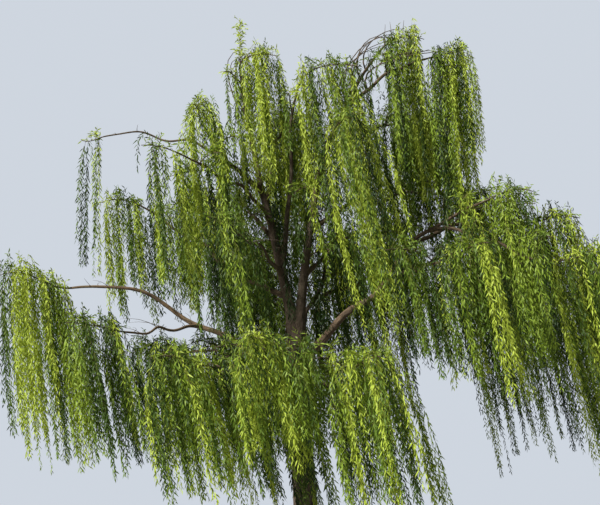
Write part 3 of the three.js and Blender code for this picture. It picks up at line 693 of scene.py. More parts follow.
def bare_twigs(name, limb, t):
    """Bare twigs that stand along a limb, out to one side or the other and up: bowed sideways by half a
    sine, and bent over as the square of the way along."""
    i = np.arange(round(limb.route.length / BARE.spacing))
    share = BARE.span[0] + BARE.span[1] * (i + chance(limb.key, 200 + i)) / len(i)
    along = limb.route.along(share)
    turned = np.where(i % 2, 1, -1) * drawn(BARE.turn, limb.key, 240 + i)
    bearing = np.arctan2(along[:, 1], along[:, 0]) + turned
    length = BARE_LENGTHS.get(name, 1) * drawn(BARE.length, limb.key, 320 + i, 2)
    reach = heading(bearing, drawn(BARE.slope, limb.key, 280 + i)) * length[:, None]
    side = heading(bearing + math.pi / 2) * (BARE.bow * (chance(limb.key, 360 + i) - 0.5))[:, None]
    t = np.asarray(t, float)[:, None]
    bowed = side[:, None] * np.sin(math.pi * t)
    drooped = UP * BARE.droop * length[:, None, None] * t**2
    return limb.route.at(share)[:, None] + reach[:, None] * t + bowed - drooped


def arc_places(mass, t):
    """Bare arcs by a cubic curve from the limb to the mass's stem: its first handle stands over its
    foot, a little behind, and its second lies behind its end at about the end's height."""
    arcs = ARCS[mass.name]
    i = np.arange(arcs.count)
    share = arcs.first + (arcs.last - arcs.first) * (i + chance(mass.key, 400 + i)) / arcs.count
    foot = grown_limbs()[arcs.limb].route.at(share)
    end = mass.stem(drawn(ARC.end, mass.key, 420 + i))
    end = end + UP * (arcs.rise * (chance(mass.key, 440 + i) - ARC.level))[:, None]
    end = end + mass.side * (ARC.across * mass.width * (chance(mass.key, 460 + i) - 0.5))[:, None]
    span = np.linalg.norm(end - foot, axis=1)[:, None]
    over = foot + UP * span * ARC.handle - mass.ahead * span * drawn(ARC.back, mass.key, 480 + i)[:, None]
    lift = UP * span * drawn(ARC.lift, mass.key, 500 + i)[:, None]
    behind = end - mass.ahead * span * ARC.handle + lift
    return bezier(foot[:, None], over[:, None], behind[:, None], end[:, None], np.asarray(t, float)[None])


def spur_places(line, key, count, size, t):
    """Short leafy shoots that stand along a line: straight, and bent over by their weight as the square
    of the way along."""
    i = np.arange(count)
    root = line(SPUR.span[0] + SPUR.span[1] * (i + chance(key, 120 + i)) / max(count, 1))
    length = size * drawn(SPUR.length, key, 180 + i)
    aim = heading(2 * math.pi * chance(key, 160 + i), drawn(SPUR.slope, key, 140 + i))
    reach = aim * length[:, None]
    t = np.asarray(t, float)[:, None]
    return root[:, None] + reach[:, None] * t - UP * SPUR.droop * size * t**2


def strands(places, root_radius, tip_radius, key, brightness, leafy=True):
    """Twigs of one kind, a row of places for each, with what each needs to be drawn and to bear leaves:
    its radii, key and brightness, and whether it has leaves at all."""
    rows = len(places)
    values = {
        "root_radius": root_radius, "tip_radius": tip_radius, "key": key, "brightness": brightness,
        "leafy": leafy,
    }
    arrays = {name: np.broadcast_to(np.asarray(value, float), rows) for name, value in values.items()}
    return SimpleNamespace(places=places, **arrays)


def joined(groups):
    """Groups of strands of one kind as one."""
    return SimpleNamespace(**{k: np.concatenate([vars(g)[k] for g in groups]) for k in vars(groups[0])})


def limb_strands():
    """The bare twigs along the limbs, each group with its kind. The longer they are, the thicker."""
    for name, limb in grown_limbs().items():
        if name != "trunk":
            root = BARE.root * max(1, BARE_LENGTHS.get(name, 1)) ** BARE.thickening
            twigs = bare_twigs(name, limb, SHOOT_STEPS)
            yield "bare", strands(twigs, root, BARE.tip, limb.key, 0, leafy=False)


def shoot_strands(mass, brightness):
    """The shoots that stand up from a mass, each group with its kind, with spurs round the leafy one."""
    shoots = shoot_places(mass, SHOOT_STEPS)
    leafy = SHOOTS[mass.name].leafy
    # Painted highlight: shoots are painted brighter than their mass, as sunlight on its top.
    yield "shoot", strands(shoots, SHOOT.root, SHOOT.tip, mass.key, brightness + LIGHT.shoot, leafy)
    if leafy:
        foot, tip = shoots[0, 0], shoots[0, -1]

        def spike(t):
            return foot + (tip - foot) * t[:, None]

        spurs = spur_places(spike, SPIKE.key, SPIKE.spurs, SPIKE.size, SPUR_STEPS)
        yield "spur", strands(spurs, SPIKE.root, SPUR.tip, np.arange(SPIKE.spurs) + SPIKE.key, brightness)


def mass_strands(mass, settings):
    """All the twigs of a mass or tuft, each group with its kind. Their keys lie far apart, so that each
    has chances of its own."""
    fullness = settings.tuft_fullness if mass.name == "tuft" else FULLNESS.get(mass.name, 1)
    oval = math.pi * mass.length * mass.width
    mains = main_withes(mass, round(fullness * (settings.withes_base + settings.withes_density * oval)))
    if not len(mains.k):
        return
    sides = side_withes(mass, mains, settings.side_withes)
    # Painted light: a mass's leaves are painted paler towards the near side and higher up, as sunlight, and
    # darker away from them, as shade, shifted by the mass's own painted light; the chances add tone that
    # differs at random.
    placed = LIGHT.high * mass.centre[2] - LIGHT.near * mass.centre[1] + MASS_PAINTED_LIGHT.get(mass.name, 0)
    sunny = placed + LIGHT.mass * (chance(mass.key, 8) - 0.5)
    lit = sunny + LIGHT.withe * (chance(mass.key + 9, mains.k) - 0.5)
    side_lit = lit[sides.parent] + LIGHT.side * (chance(mass.key + 10, sides.k) - 0.5)

    spurs = spur_places(mass.stem, mass.key, round(settings.spurs * mass.length), SPUR.size, SPUR_STEPS)
    spur_keys = np.arange(len(spurs)) + 50 * mass.key
    # Painted highlight: spurs are painted brighter than their mass, as sunlight on its top.
    yield "spur", strands(spurs, SPUR.root, SPUR.tip, spur_keys, sunny + LIGHT.spur)
    yield "stem", strands(
        mass.stem(STEM_STEPS)[None], mass.butt * STEM_SHARE, STEM_TIP, mass.key, sunny, leafy=False,
    )
    thick = MAIN_ROOT[0] + MAIN_ROOT[1] * mains.drop
    yield "main", strands(withe_places(mains, MAIN_STEPS), thick, MAIN_TIP, mains.k + 1000 * mass.key, lit)
    side_keys = sides.k + 9000 * (mass.key + 1)
    yield "side", strands(withe_places(sides, SIDE_STEPS), SIDE.root, SIDE.tip, side_keys, side_lit)
    if mass.name in ARCS:
        yield "arc", strands(arc_places(mass, ARC_STEPS), ARC.root, ARC.tip, mass.key, 0, leafy=False)
    if mass.name in SHOOTS:
        yield from shoot_strands(mass, sunny)


@functools.cache
def grown_canopy():
    """All the twigs: stems, main and side withes, spurs, shoots, arcs and the limbs' bare twigs, each
    kind joined over the whole tree."""
    settings = bpy.context.scene.willow_foliage
    kinds = {kind: [] for kind in (*WOODY, *GREEN)}
    for kind, group in limb_strands():
        kinds[kind].append(group)
    for mass in mass_frames() + tuft_frames():
        for kind, group in mass_strands(mass, settings):
            kinds[kind].append(group)
    return {kind: joined(groups) for kind, groups in kinds.items()}


def add_object(name, data):
    """A new object of that data in the scene."""
    made = bpy.data.objects.new(name, data)
    bpy.context.scene.collection.objects.link(made)
    return made


def make_piece(name, places, face_groups, material, nodes):
    """A mesh object from whole arrays: places, and faces in groups of like corner counts. It rides on
    the root body and stands for the named nodes."""
    corners = np.concatenate([group.ravel() for group in face_groups]).astype(np.int32)
    counts = np.concatenate([np.full(len(group), group.shape[1]) for group in face_groups])
    starts = (np.cumsum(counts) - counts).astype(np.int32)
    mesh = bpy.data.meshes.new(name)
    mesh.vertices.add(len(places))
    mesh.vertices.foreach_set("co", np.ascontiguousarray(places, np.float32).ravel())
    mesh.loops.add(len(corners))
    mesh.loops.foreach_set("vertex_index", corners)
    mesh.polygons.add(len(counts))
    mesh.polygons.foreach_set("loop_start", starts)
    mesh.polygons.foreach_set("use_smooth", np.ones(len(counts), bool))
    mesh.update(calc_edges=True)
    if mesh.validate():
        raise RuntimeError(f"the mesh of {name} had faults")
    mesh.materials.append(material)
    piece = add_object(name, mesh)
    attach(piece, "root")
    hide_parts(*nodes)
    return piece


def tube_rings(centres, radii, sides, normal_from):
    """Rings of points round lines of centres, a row for each line: each ring lies across the mean
    direction there, and its angles are counted from the part of normal_from that lies across it."""
    along = unit(np.gradient(centres, axis=1))
    normal = unit(normal_from - (normal_from * along).sum(-1, keepdims=True) * along)
    other = np.cross(along, normal)
    angle = 2 * math.pi * np.arange(sides) / sides
    spokes = normal[..., None, :] * np.cos(angle)[:, None] + other[..., None, :] * np.sin(angle)[:, None]
    return centres[..., None, :] + spokes * radii[..., None]


def tube_faces(rows, rings, sides, first=0):
    """Faces of closed tubes whose points stand in order of row, ring and side: walls and two ends."""
    corner = first + np.arange(rows * rings * sides).reshape(rows, rings, sides)
    after = np.roll(corner, -1, axis=2)
    walls = np.stack([corner[:, :-1], after[:, :-1], after[:, 1:], corner[:, 1:]], -1).reshape(-1, 4)
    ends = np.concatenate([corner[:, 0, ::-1], corner[:, -1]])
    return walls, ends


def strand_tubes(strand, sides, taper):
    """Closed tubes round strands, thinning from root to tip as a power of the way along."""
    rings = strand.places.shape[1]
    share = np.linspace(0, 1, rings) ** taper
    radii = strand.root_radius[:, None] + (strand.tip_radius - strand.root_radius)[:, None] * share
    reach = strand.places[:, -1] - strand.places[:, 0]
    # The tiny number keeps the direction across a twig that stands upright from being nothing.
    across = np.stack([-reach[:, 1], reach[:, 0] + 1e-4, np.zeros(len(reach))], -1)[:, None]
    points = tube_rings(strand.places, np.repeat(radii[..., None], sides, 2), sides, across)
    return points.reshape(-1, 3), tube_faces(len(points), rings, sides)


def lattice_noise(u, v, around, seed):
    """Smooth noise from 0 to 1 on a grid of chances, which repeats after a whole number of cells of u:
    the four chances round a place, mixed by smooth steps."""
    i, j = np.floor(u), np.floor(v)
    s, t = u - i, v - j
    s, t = s * s * (3 - 2 * s), t * t * (3 - 2 * t)

    def corner(a, b):
        return chance(np.mod(i + a, around) + 31.7 * seed, j + b)

    low = corner(0, 0) * (1 - s) + corner(1, 0) * s
    high = corner(0, 1) * (1 - s) + corner(1, 1) * s
    return low * (1 - t) + high * t


def folded_noise(u, v, around, seed, form):
    """Noise drawn out along the limb and folded at its middle, so that its level lines are sharp
    valleys, scaled to the form's share of the whole depth."""
    folded = np.abs(2 * lattice_noise(u, v * form.cells, around, seed) - 1)
    return form.share * np.minimum(1, form.steep * folded) ** FURROW_POWER


def bark_ridges(angle, along, furrows, seed):
    """Height of bark from 0 in a furrow to 1 on a ridge: furrows and finer fissures, both of folded
    noise, on places pushed aside by slower noise."""
    u = angle / (2 * math.pi) * furrows
    v = along / (math.pi / furrows)
    wander = lattice_noise(u / 2, v * WANDER_CELLS, furrows // 2, seed + 1) - 0.5
    deep = folded_noise(u + FURROW.push * wander, v, furrows, seed, FURROW)
    fine = folded_noise(2 * u + FISSURE.push * wander, v, 2 * furrows, seed + 2, FISSURE)
    return deep + fine


def limb_surface(limb, rings, sides, relief, furrows, dome=0.0):
    """One limb's tube with its bark: the limb's radius, a collar that swells where it leaves its parent,
    and the relief of the bark. Returns its points, the height of the bark at each, and its place on the
    limb if that stood straight: its height there is less than life, so that patterns are drawn out,
    and its key is added, so that no two limbs have the same patterns."""
    share = np.linspace(0, 1, rings)[:, None]
    angle = 2 * math.pi * np.arange(sides)[None] / sides
    run = share * limb.route.length
    plain = limb.radius(share, angle) * np.ones_like(angle)
    if limb.key:
        out = np.maximum(0, run - COLLAR.hidden * limb.bury)
        plain = plain * (1 + COLLAR.swell * np.exp(-out / (COLLAR.reach * limb.butt)))
    if dome:
        left = np.clip((limb.route.length - run) / dome, 0, 1)
        plain = plain * np.sqrt(np.maximum(1 - (1 - left) ** 2, 1e-4))
    ridge = bark_ridges(angle, run / (limb.radius(0.5, 0.0) * 2), furrows, limb.key)
    depth = relief * np.minimum(1, plain / limb.radius(0.0, 0.0))
    radii = plain + depth * (ridge - BARK_LEVEL)
    centres = limb.route.at(share[:, 0])
    points = tube_rings(centres[None], radii[None], sides, limb.side)
    if not limb.key:
        points[0, 0, :, 2] = 0  # the cut at the ground is level
    skin = np.stack([plain * np.cos(angle), plain * np.sin(angle), SKIN_HEIGHT * run + 0 * angle], -1)
    return points.reshape(-1, 3), ridge.ravel(), skin.reshape(-1, 3) + limb.key


def bark_piece(name, limb_names, material, settings):
    """The named limbs as one mesh with the relief of their bark, in rings and sides of about one spacing.
    Attributes keep what its material reads: the height of the bark, how much of the tan colour paints
    sunlight on the limb and the places on its skin."""
    points, ridges, painted_sun_tans, skins, groups, first = [], [], [], [], [], 0
    for limb_name in limb_names:
        limb = grown_limbs()[limb_name]
        trunk = limb_name == "trunk"
        girth = 2 * math.pi * float(limb.radius(GIRTH_AT, 0.0))
        furrows = 2 * round(girth / settings.furrow_width / 2)
        sides = max(LEAST_SIDES, SIDES_PER_FURROW * furrows)
        rings = math.ceil(limb.route.length / (settings.ring_spacing * (1 if trunk else LIMB_RINGS)))
        relief = settings.trunk_relief if trunk else settings.limb_relief * limb.butt
        made, ridge, skin = limb_surface(
            limb, rings, sides, relief, max(LEAST_FURROWS, furrows), TRUNK.dome if trunk else 0,
        )
        points.append(made)
        ridges.append(ridge)
        skins.append(skin)
        painted_sun_tans.append(np.full(len(ridge), PAINTED_SUN_TAN.get(limb_name, USUAL_PAINTED_SUN_TAN)))
        groups.append(tube_faces(1, rings, sides, first))
        first += len(made)
    faces = [np.concatenate([walls for walls, _ in groups])] + [ends for _, ends in groups]
    piece = make_piece(name, np.concatenate(points), faces, material, limb_names)
    for attribute, kind, field, values in (
        ("ridge", "FLOAT", "value", ridges), ("tan", "FLOAT", "value", painted_sun_tans),
        ("skin", "FLOAT_VECTOR", "vector", skins),
    ):
        layer = piece.data.attributes.new(attribute, kind, "POINT")
        layer.data.foreach_set(field, np.concatenate(values).astype(np.float32).ravel())
    return piece


def leaf_roots(strand, spacing):
    """Where leaves stand on strands: the row of each, its place on the line, the line's direction
    there and its number along the row. They are spaced evenly along each strand after a bare start."""
    steps = np.diff(strand.places, axis=1)
    runs = np.linalg.norm(steps, axis=2)
    reached = np.concatenate([np.zeros((len(runs), 1)), np.cumsum(runs, 1)], 1)
    length = reached[:, -1]
    counts = (length * strand.leafy * (1 - LEAF.bare) / spacing).astype(int)
    row = np.repeat(np.arange(len(counts)), counts)
    number = np.arange(len(row)) - np.repeat(np.cumsum(counts) - counts, counts)
    placed = number + 0.5 + LEAF.jitter * (chance(row, number) - 0.5)
    share = LEAF.bare + (1 - LEAF.bare) * placed / counts[row]
    # The rows are laid end to end, far apart, so that one search finds every leaf's segment.
    apart = length.max() + 1
    marks = reached + apart * np.arange(len(runs))[:, None]
    index = np.arange(marks.size, dtype=float)
    place = np.interp(share * length[row] + apart * row, marks.ravel(), index)
    segment = np.minimum(np.floor(place).astype(int) - row * marks.shape[1], runs.shape[1] - 1)
    part = place - row * marks.shape[1] - segment
    step = steps[row, segment]
    return row, number, strand.places[row, segment] + step * part[:, None], unit(step), share


def leaf_blades(strand, settings):
    """Leaves on strands: each blade's midrib leaves the twig at an angle, turned round it by the golden
    angle from leaf to leaf, and bends down under its weight as the square of the way along."""
    row, number, root, along, share = leaf_roots(strand, settings.leaf_spacing)
    key = strand.key[row]
    own = key + LEAF.key_step * number
    out = heading(GOLDEN_ANGLE * number + 2 * math.pi * chance(key, 3))
    out = unit(out - (out * along).sum(-1, keepdims=True) * along)
    angle = np.radians(drawn(LEAF.angle, own, 4))[:, None]
    aim = along * np.cos(angle) + out * np.sin(angle)
    length = settings.leaf_length * drawn(LEAF.length, own, 5) * (1 - LEAF.shorter * share**3)
    face = unit(np.cross(aim, heading(2 * math.pi * chance(own, 7), drawn(LEAF.tilt, own, 8))))
    half = (settings.leaf_width / 2 * drawn(LEAF.width, own, 9))[:, None, None]
    droop = drawn(LEAF.droop, own, 6)[:, None, None]
    bent = aim[:, None] * LEAF_ALONG - UP * (droop * LEAF_ALONG**2 / 2)
    points = root[:, None] + length[:, None, None] * bent + face[:, None] * half * LEAF_ACROSS
    return points, row


def leaf_faces(count):
    """Three faces for each leaf, whose points stand one leaf after another."""
    first = len(LEAF_ALONG) * np.arange(count)[:, None, None]
    return [(first + LEAF_FACES).reshape(-1, 3)]


class Socket:
    """A node's output that adds, subtracts and multiplies as a number does, by Math nodes."""

    def __init__(self, shader, output):
        self.shader = shader
        self.output = output

    def math(self, operation, *values):
        """The result of a Math node."""
        return self.shader.node("ShaderNodeMath", {"operation": operation}, *values)

    def __add__(self, other):
        return self.math("ADD", self, other)

    def __sub__(self, other):
        return self.math("SUBTRACT", self, other)

    def __rsub__(self, other):
        return self.math("SUBTRACT", other, self)

    def __mul__(self, other):
        return self.math("MULTIPLY", self, other)

    def __abs__(self):
        return self.math("ABSOLUTE", self)

    def up_to(self, most):
        """The value, but never more than most."""
        return self.math("MINIMUM", self, most)

    __radd__ = __add__
    __rmul__ = __mul__


class Shader:
    """The node tree of a new material or world, which is built from nothing."""

    def __init__(self, owner, output="ShaderNodeOutputMaterial"):
        owner.use_nodes = True
        self.owner = owner
        self.tree = owner.node_tree
        self.tree.nodes.clear()
        self.output = self.tree.nodes.new(output)

    def give(self, socket, value):
        """Gives a socket a value or a link."""
        if isinstance(value, Socket):
            self.tree.links.new(value.output, socket)
        else:
            socket.default_value = value

    def node(self, kind, settings=None, *values, output=0, **named):
        """Adds a node with its settings, then gives its sockets values or links, in order or by name,
        and returns the output of that number or name."""
        made = self.tree.nodes.new(kind)
        for key, value in (settings or {}).items():
            setattr(made, key, value)
        for socket, value in zip(made.inputs, values):
            self.give(socket, value)
        for key, value in named.items():
            self.give(made.inputs[key.replace("_", " ")], value)
        return Socket(self, made.outputs[output])

    def mix(self, factor, first, second):
        """Two colours mixed by a factor."""
        made = self.tree.nodes.new("ShaderNodeMix")
        made.data_type = "RGBA"
        values = {"Factor_Float": factor, "A_Color": first, "B_Color": second}
        for socket in made.inputs:
            if socket.identifier in values:
                self.give(socket, values[socket.identifier])
        return Socket(self, next(o for o in made.outputs if o.identifier == "Result_Color"))

    def finish(self, surface):
        """Puts the surface on the output, and returns the material or world."""
        self.tree.links.new(surface.output, self.output.inputs["Surface"])
        return self.owner


def opaque(colour):
    """A colour of three numbers with full alpha."""
    return (*colour, 1.0)


def bark_material(name, furrow, ridge_colour, painted_sun_colour, bloom, amount):
    """Bark: dark in the furrows and paler on the ridges by the ridge attribute, with finer fissures where
    noise drawn out along the limb crosses its middle, clouded, and with a grey-green bloom. The darkness in
    furrows and fissures is partly the bark's own colour and partly painted shade, the paleness on the ridge
    tops partly a painted highlight, and the tan attribute paints sunlight on the ridges of lit limbs."""
    shader = Shader(bpy.data.materials.new(name))

    def attribute(kept, output):
        return shader.node("ShaderNodeAttribute", {"attribute_name": kept}, output=output)

    def noise(place, scale, detail, **more):
        return shader.node("ShaderNodeTexNoise", Vector=place, Scale=scale, Detail=detail, **more)

    place = shader.node("ShaderNodeTexCoord", output="Object")
    skin, ridge, tan = attribute("skin", "Vector"), attribute("ridge", "Fac"), attribute("tan", "Fac")
    cloud = noise(place, 2.4, 5.0)
    patch = noise(place, 1.1, 6.0, Roughness=0.65)
    grain = noise(skin, 120.0, 5.0, Roughness=0.7)
    fissure = noise(skin, 26.0, 5.0, Roughness=0.62, Distortion=0.5) - 0.5
    plate = (abs(fissure) * 9).up_to(1.0)
    # Painted shade and highlight: the colour goes from the furrow colour low in furrows, fissures and grain
    # to the ridge colour on top, partly the bark's own colour.
    height = ridge * 0.5 + plate * 0.35 + grain * 0.3
    paleness = shader.node("ShaderNodeMath", {"use_clamp": True, "operation": "SUBTRACT"}, height, 0.12)
    # Painted sunlight: the tan attribute mixes the ridge colour towards the tan colour on limbs in the sun.
    paler = shader.mix(tan, opaque(ridge_colour), opaque(painted_sun_colour))
    base = shader.mix(paleness, opaque(furrow), paler)
    clouded = shader.mix(cloud * 0.6, base, opaque([0.45 * c for c in ridge_colour]))
    patches = shader.node("ShaderNodeMapRange", {"clamp": True}, patch, 0.5, 0.68, 0.0, amount)
    coloured = shader.mix(patches * plate * ridge, clouded, opaque(bloom))
    relief = grain * 0.5 + plate + ridge
    bump = shader.node("ShaderNodeBump", Strength=0.8, Distance=0.012, Height=relief)
    return shader.finish(shader.node(
        "ShaderNodeBsdfPrincipled", Base_Color=coloured, Roughness=0.95 - 0.1 * ridge, Normal=bump,
    ))


def twig_material(name, colour):
    """The bark of young twigs: one plain colour with a slight gloss."""
    shader = Shader(bpy.data.materials.new(name))
    return shader.finish(shader.node("ShaderNodeBsdfPrincipled", Base_Color=opaque(colour), Roughness=0.6))


def leaf_material(name, colour, glow):
    """A leaf: one plain colour, slightly glossy, that lets some light through as a yellower green."""
    shader = Shader(bpy.data.materials.new(name))
    blade = shader.node(
        "ShaderNodeBsdfPrincipled", Base_Color=opaque(colour), Roughness=0.55, Specular_IOR_Level=0.25,
    )
    through = [min(1, part * share) for part, share in zip(colour, LEAF.through)]
    light = shader.node("ShaderNodeBsdfTranslucent", Color=opaque(through))
    return shader.finish(shader.node("ShaderNodeMixShader", None, glow, blade, light))


def colour_property(name, description, default):
    """A colour that a user can change."""
    return FloatVectorProperty(
        name=name, description=description, subtype="COLOR", size=3, default=default, min=0, max=1,
    )


def length_property(name, description, default):
    """A length in metres that a user can change."""
    return FloatProperty(
        name=name, description=description, unit="LENGTH", default=default, min=0, precision=4,
    )


class WillowBark(bpy.types.PropertyGroup):
    """Sizes and colours of the trunk and limbs."""

    trunk_relief: length_property("Trunk relief", "Depth of the trunk's furrows", 0.048)
    limb_relief: FloatProperty(
        name="Limb relief", description="Depth of a limb's furrows as a share of its butt's diameter",
        default=0.07, min=0, max=0.3,
    )
    furrow_width: length_property("Furrow width", "Distance from one furrow to the next", 0.066)
    ring_spacing: length_property("Ring spacing", "Distance between the trunk's rings of points", 0.03)
    # Bark goes from the furrow colour to the ridge colour: partly its own colour, and partly painted shade
    # in the furrows and a painted highlight on the ridges.
    furrow: colour_property("Furrow", "Colour in the furrows of old bark", (0.018, 0.012, 0.008))
    ridge: colour_property("Ridge", "Colour on the ridges of old bark", (0.1, 0.072, 0.05))
    # Painted sunlight: the tan colour stands for sun on the ridges of lit limbs.
    tan: colour_property("Tan", "Colour on the ridges of sunlit limbs", (0.33, 0.21, 0.11))
    young_furrow: colour_property("Young furrow", "Colour in young bark's furrows", (0.026, 0.017, 0.01))
    young_ridge: colour_property("Young ridge", "Colour on young bark's ridges", (0.13, 0.09, 0.05))
    bloom: colour_property("Bloom", "Colour of the grey-green bloom on the bark", (0.13, 0.14, 0.08))
    bloom_share: FloatProperty(
        name="Bloom share", description="Strength of the bloom on old bark, and half of it on young",
        default=0.7, min=0, max=1,
    )


class WillowFoliage(bpy.types.PropertyGroup):
    """Counts, sizes and colours of the twigs and leaves."""

    withes_base: FloatProperty(
        name="Least withes", description="Withes that a mass has whatever its size", default=1.5, min=0,
    )
    withes_density: FloatProperty(
        name="Withe density", description="Withes for each square metre of a mass's oval", default=8, min=0,
    )
    tuft_fullness: FloatProperty(
        name="Tuft fullness", description="Withes of a tuft as a share of a mass's", default=0.55, min=0,
    )
    side_withes: IntProperty(
        name="Side withes", description="Finer twigs on each main withe", default=7, min=0,
    )
    spurs: FloatProperty(
        name="Spurs", description="Short shoots for each metre of a mass's length", default=18, min=0,
    )
    leaf_spacing: length_property("Leaf spacing", "Distance between leaves along a twig", 0.042)
    leaf_length: length_property("Leaf length", "Length that each leaf's own is a share of", 0.15)
    leaf_width: length_property("Leaf width", "Width that each leaf's own is a share of", 0.029)
    glow: FloatProperty(
        name="Glow", description="Share of light that a leaf lets through", default=0.2, min=0, max=1,
    )
    wood: colour_property("Wood", "Colour of the woody twigs", (0.06, 0.038, 0.018))
    green_wood: colour_property("Green wood", "Colour of the youngest twigs", (0.2, 0.19, 0.045))
    # Painted light: these five leaf colours go to strands by their brightness, not by how far in a leaf
    # grows, so the darker ones carry painted shade and the paler ones painted sunlight, with tone that
    # differs by chance.
    deep: colour_property("Deep", "Colour of the innermost leaves", (0.012, 0.034, 0.005))
    green: colour_property("Green", "Colour of the inner leaves", (0.038, 0.078, 0.009))
    fresh: colour_property("Fresh", "Colour of the middle leaves", (0.1, 0.17, 0.017))
    sunlit: colour_property("Sunlit", "Colour of the outer leaves", (0.2, 0.295, 0.028))
    pale: colour_property("Pale", "Colour of the palest leaves", (0.35, 0.45, 0.05))


class WillowStage(bpy.types.PropertyGroup):
    """The floor, the light and the camera."""

    floor: colour_property("Floor", "Colour of the floor", (0.3, 0.3, 0.295))
    floor_radius: length_property("Floor radius", "Distance from the tree to the floor's rim", 320)
    backdrop: colour_property("Backdrop", "Colour seen behind the tree", (0.62, 0.67, 0.74))
    sky: colour_property("Sky", "Colour of the light from all round", (0.8, 0.86, 0.95))
    sky_strength: FloatProperty(
        name="Sky strength", description="Strength of the light from all round", default=0.15, min=0,
    )
    sun_strength: FloatProperty(
        name="Key strength", description="Strength of the key light", default=7.5, min=0,
    )
    sun_size: FloatProperty(
        name="Key size", description="Width of the key light as seen from the tree", subtype="ANGLE",
        default=math.radians(5), min=0,
    )
    sun_from: FloatVectorProperty(
        name="Key from", description="Direction that the key light comes from", subtype="DIRECTION",
        default=(-0.72, -0.54, 0.8),
    )
    eye: FloatVectorProperty(
        name="Eye", description="Place of the camera", subtype="TRANSLATION", unit="LENGTH",
        default=(-0.2, -30.0, 1.6),
    )
    tilt: FloatProperty(
        name="Tilt", description="How far the camera looks up", subtype="ANGLE",
        default=math.radians(12.52),
    )
    lens: FloatProperty(
        name="Lens", description="Focal length in millimetres on a sensor 36 mm wide", default=75, min=1,
    )


def has_old_bark(limb):
    """Whether a row of LIMBS is thick enough at its butt to have old bark."""
    return limb[4][0] > OLD_BARK_BUTT


class WILLOW_OT_trunk(bpy.types.Operator):
    """Make the trunk and the heavy limbs with old bark"""

    bl_idname = "willow.trunk"
    bl_label = "Trunk and Boughs"

    def execute(self, context):
        settings = context.scene.willow_bark
        heavy = ["trunk"] + [row[0] for row in LIMBS if has_old_bark(row)]
        colours = (settings.furrow, settings.ridge, settings.tan, settings.bloom)
        material = bark_material("old bark", *colours, settings.bloom_share)
        bark_piece("trunk_and_boughs", heavy, material, settings)
        return {"FINISHED"}


class WILLOW_OT_limbs(bpy.types.Operator):
    """Make the lighter limbs with young bark"""

    bl_idname = "willow.limbs"
    bl_label = "Limbs"

    def execute(self, context):
        settings = context.scene.willow_bark
        light = [row[0] for row in LIMBS if not has_old_bark(row)]
        colours = (settings.young_furrow, settings.young_ridge, settings.tan, settings.bloom)
        material = bark_material("young bark", *colours, settings.bloom_share / 2)
        bark_piece("limbs", light, material, settings)
        return {"FINISHED"}


class WILLOW_OT_twigs(bpy.types.Operator):
    """Grow the stems, withes and other twigs of every mass, and the bare twigs of the limbs"""

    bl_idname = "willow.twigs"
    bl_label = "Twigs"

    def execute(self, context):
        settings = context.scene.willow_foliage
        canopy = grown_canopy()
        for name, kinds, colour in (
            ("woody_twigs", WOODY, settings.wood), ("green_twigs", GREEN, settings.green_wood),
        ):
            points, faces, first = [], [], 0
            for kind, (sides, taper) in kinds.items():
                made, (walls, ends) = strand_tubes(canopy[kind], sides, taper)
                points.append(made)
                faces += [walls + first, ends + first]
                first += len(made)
            material = twig_material(name.replace("_", " "), colour)
            make_piece(name, np.concatenate(points), faces, material, FOLIAGE)
        return {"FINISHED"}


class WILLOW_OT_leaves(bpy.types.Operator):
    """Grow the leaves, and deal their colours out by strand brightness, which carries painted sunlight and
    painted shade, in pieces of one size
    """

    bl_idname = "willow.leaves"
    bl_label = "Leaves"

    def execute(self, context):
        settings = context.scene.willow_foliage
        canopy = grown_canopy()
        blades, light = [], []
        for kind in LEAFY:
            points, row = leaf_blades(canopy[kind], settings)
            blades.append(points)
            light.append(canopy[kind].brightness[row])
        blades, light = np.concatenate(blades), np.concatenate(light)
        # Painted light: the leaves are split evenly among the colours by brightness, the darkest strands
        # taking the deepest colour as painted shade and the brightest the palest as painted sunlight.
        cuts = np.quantile(light, np.linspace(0, 1, len(LEAF_TONES) + 1)[1:-1])
        tone = np.searchsorted(cuts, light)
        for i, name in enumerate(LEAF_TONES):
            own = blades[tone == i]
            material = leaf_material(f"{name} leaf", getattr(settings, name), settings.glow)
            make_piece(f"leaves_{name}", own.reshape(-1, 3), leaf_faces(len(own)), material, FOLIAGE)
        return {"FINISHED"}


def make_floor(settings):
    """A level disc at the height of the trunk's cut."""
    shader = Shader(bpy.data.materials.new("floor"))
    ground = shader.node("ShaderNodeBsdfPrincipled", Base_Color=opaque(settings.floor), Roughness=0.9)
    rim = heading(np.linspace(0, 2 * math.pi, FLOOR_SIDES, endpoint=False)) * settings.floor_radius
    mesh = bpy.data.meshes.new("floor")
    mesh.from_pydata(rim.tolist(), [], [list(range(len(rim)))])
    mesh.materials.append(shader.finish(ground))
    add_object("floor", mesh)


def make_sky(settings):
    """A world that lights the tree softly from all round, and shows the camera a plain backdrop."""
    shader = Shader(bpy.data.worlds.new("studio"), "ShaderNodeOutputWorld")
    around = shader.node("ShaderNodeBackground", None, opaque(settings.sky), settings.sky_strength)
    behind = shader.node("ShaderNodeBackground", None, opaque(settings.backdrop))
    seen = shader.node("ShaderNodeLightPath", output="Is Camera Ray")
    bpy.context.scene.world = shader.finish(shader.node("ShaderNodeMixShader", None, seen, around, behind))


def make_key_light(settings):
    """A broad distant light from over the viewer's left shoulder."""
    lamp = bpy.data.lights.new("key light", "SUN")
    lamp.energy = settings.sun_strength
    lamp.angle = settings.sun_size
    lamp.color = KEY_LIGHT_COLOUR
    key_light = add_object("key light", lamp)
    key_light.rotation_mode = "QUATERNION"
    key_light.rotation_quaternion = settings.sun_from.to_track_quat("Z", "Y")


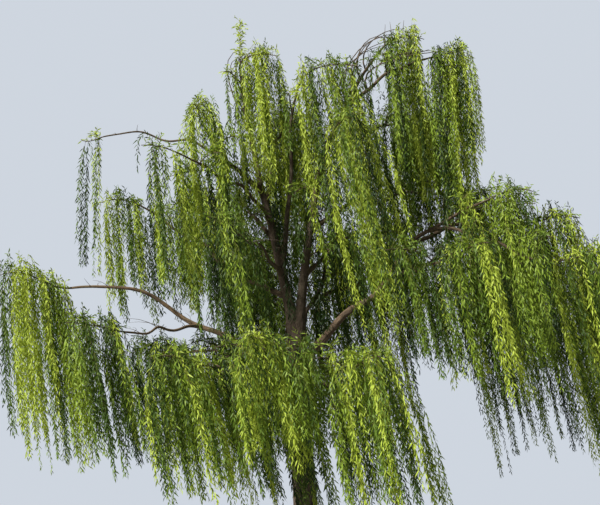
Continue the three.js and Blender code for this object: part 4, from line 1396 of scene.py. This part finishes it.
def make_camera(settings):
    """A camera at the photo's place, which looks along +Y and up by its tilt."""
    lens = bpy.data.cameras.new("camera")
    lens.lens = settings.lens
    lens.sensor_width = SENSOR_WIDTH
    lens.clip_end = FARTHEST_SEEN
    camera = add_object("camera", lens)
    camera.location = settings.eye
    camera.rotation_euler = (math.pi / 2 + settings.tilt, 0, 0)
    bpy.context.scene.camera = camera


class WILLOW_OT_stage(bpy.types.Operator):
    """Make the floor, the light and the camera"""

    bl_idname = "willow.stage"
    bl_label = "Stage"

    def execute(self, context):
        settings = context.scene.willow_stage
        for make in (make_floor, make_sky, make_key_light, make_camera):
            make(settings)
        context.scene.view_settings.view_transform = "Standard"
        return {"FINISHED"}


OPERATORS = (WILLOW_OT_trunk, WILLOW_OT_limbs, WILLOW_OT_twigs, WILLOW_OT_leaves, WILLOW_OT_stage)
SETTINGS = {"willow_bark": WillowBark, "willow_foliage": WillowFoliage, "willow_stage": WillowStage}


class WILLOW_PT_panel(bpy.types.Panel):
    """The willow's settings and the buttons that make it"""

    bl_idname = "WILLOW_PT_panel"
    bl_label = "Weeping Willow"
    bl_space_type = "VIEW_3D"
    bl_region_type = "UI"
    bl_category = "Willow"

    def draw(self, context):
        for name in SETTINGS:
            settings = getattr(context.scene, name)
            box = self.layout.box()
            for field in settings.__annotations__:
                box.prop(settings, field)
        for operator in OPERATORS:
            self.layout.operator(operator.bl_idname)


def register():
    """Makes the classes known, and gives the scene its settings."""
    for kind in (*SETTINGS.values(), *OPERATORS, WILLOW_PT_panel):
        bpy.utils.register_class(kind)
    for name, kind in SETTINGS.items():
        setattr(bpy.types.Scene, name, PointerProperty(type=kind))


def unregister():
    """Undoes what register did."""
    for name in SETTINGS:
        delattr(bpy.types.Scene, name)
    for kind in (WILLOW_PT_panel, *OPERATORS, *SETTINGS.values()):
        bpy.utils.unregister_class(kind)


def main():
    """Makes every piece and the stage."""
    register()
    for operator in OPERATORS:
        group, name = operator.bl_idname.split(".")
        getattr(getattr(bpy.ops, group), name)()


if __name__ == "__main__":
    main()
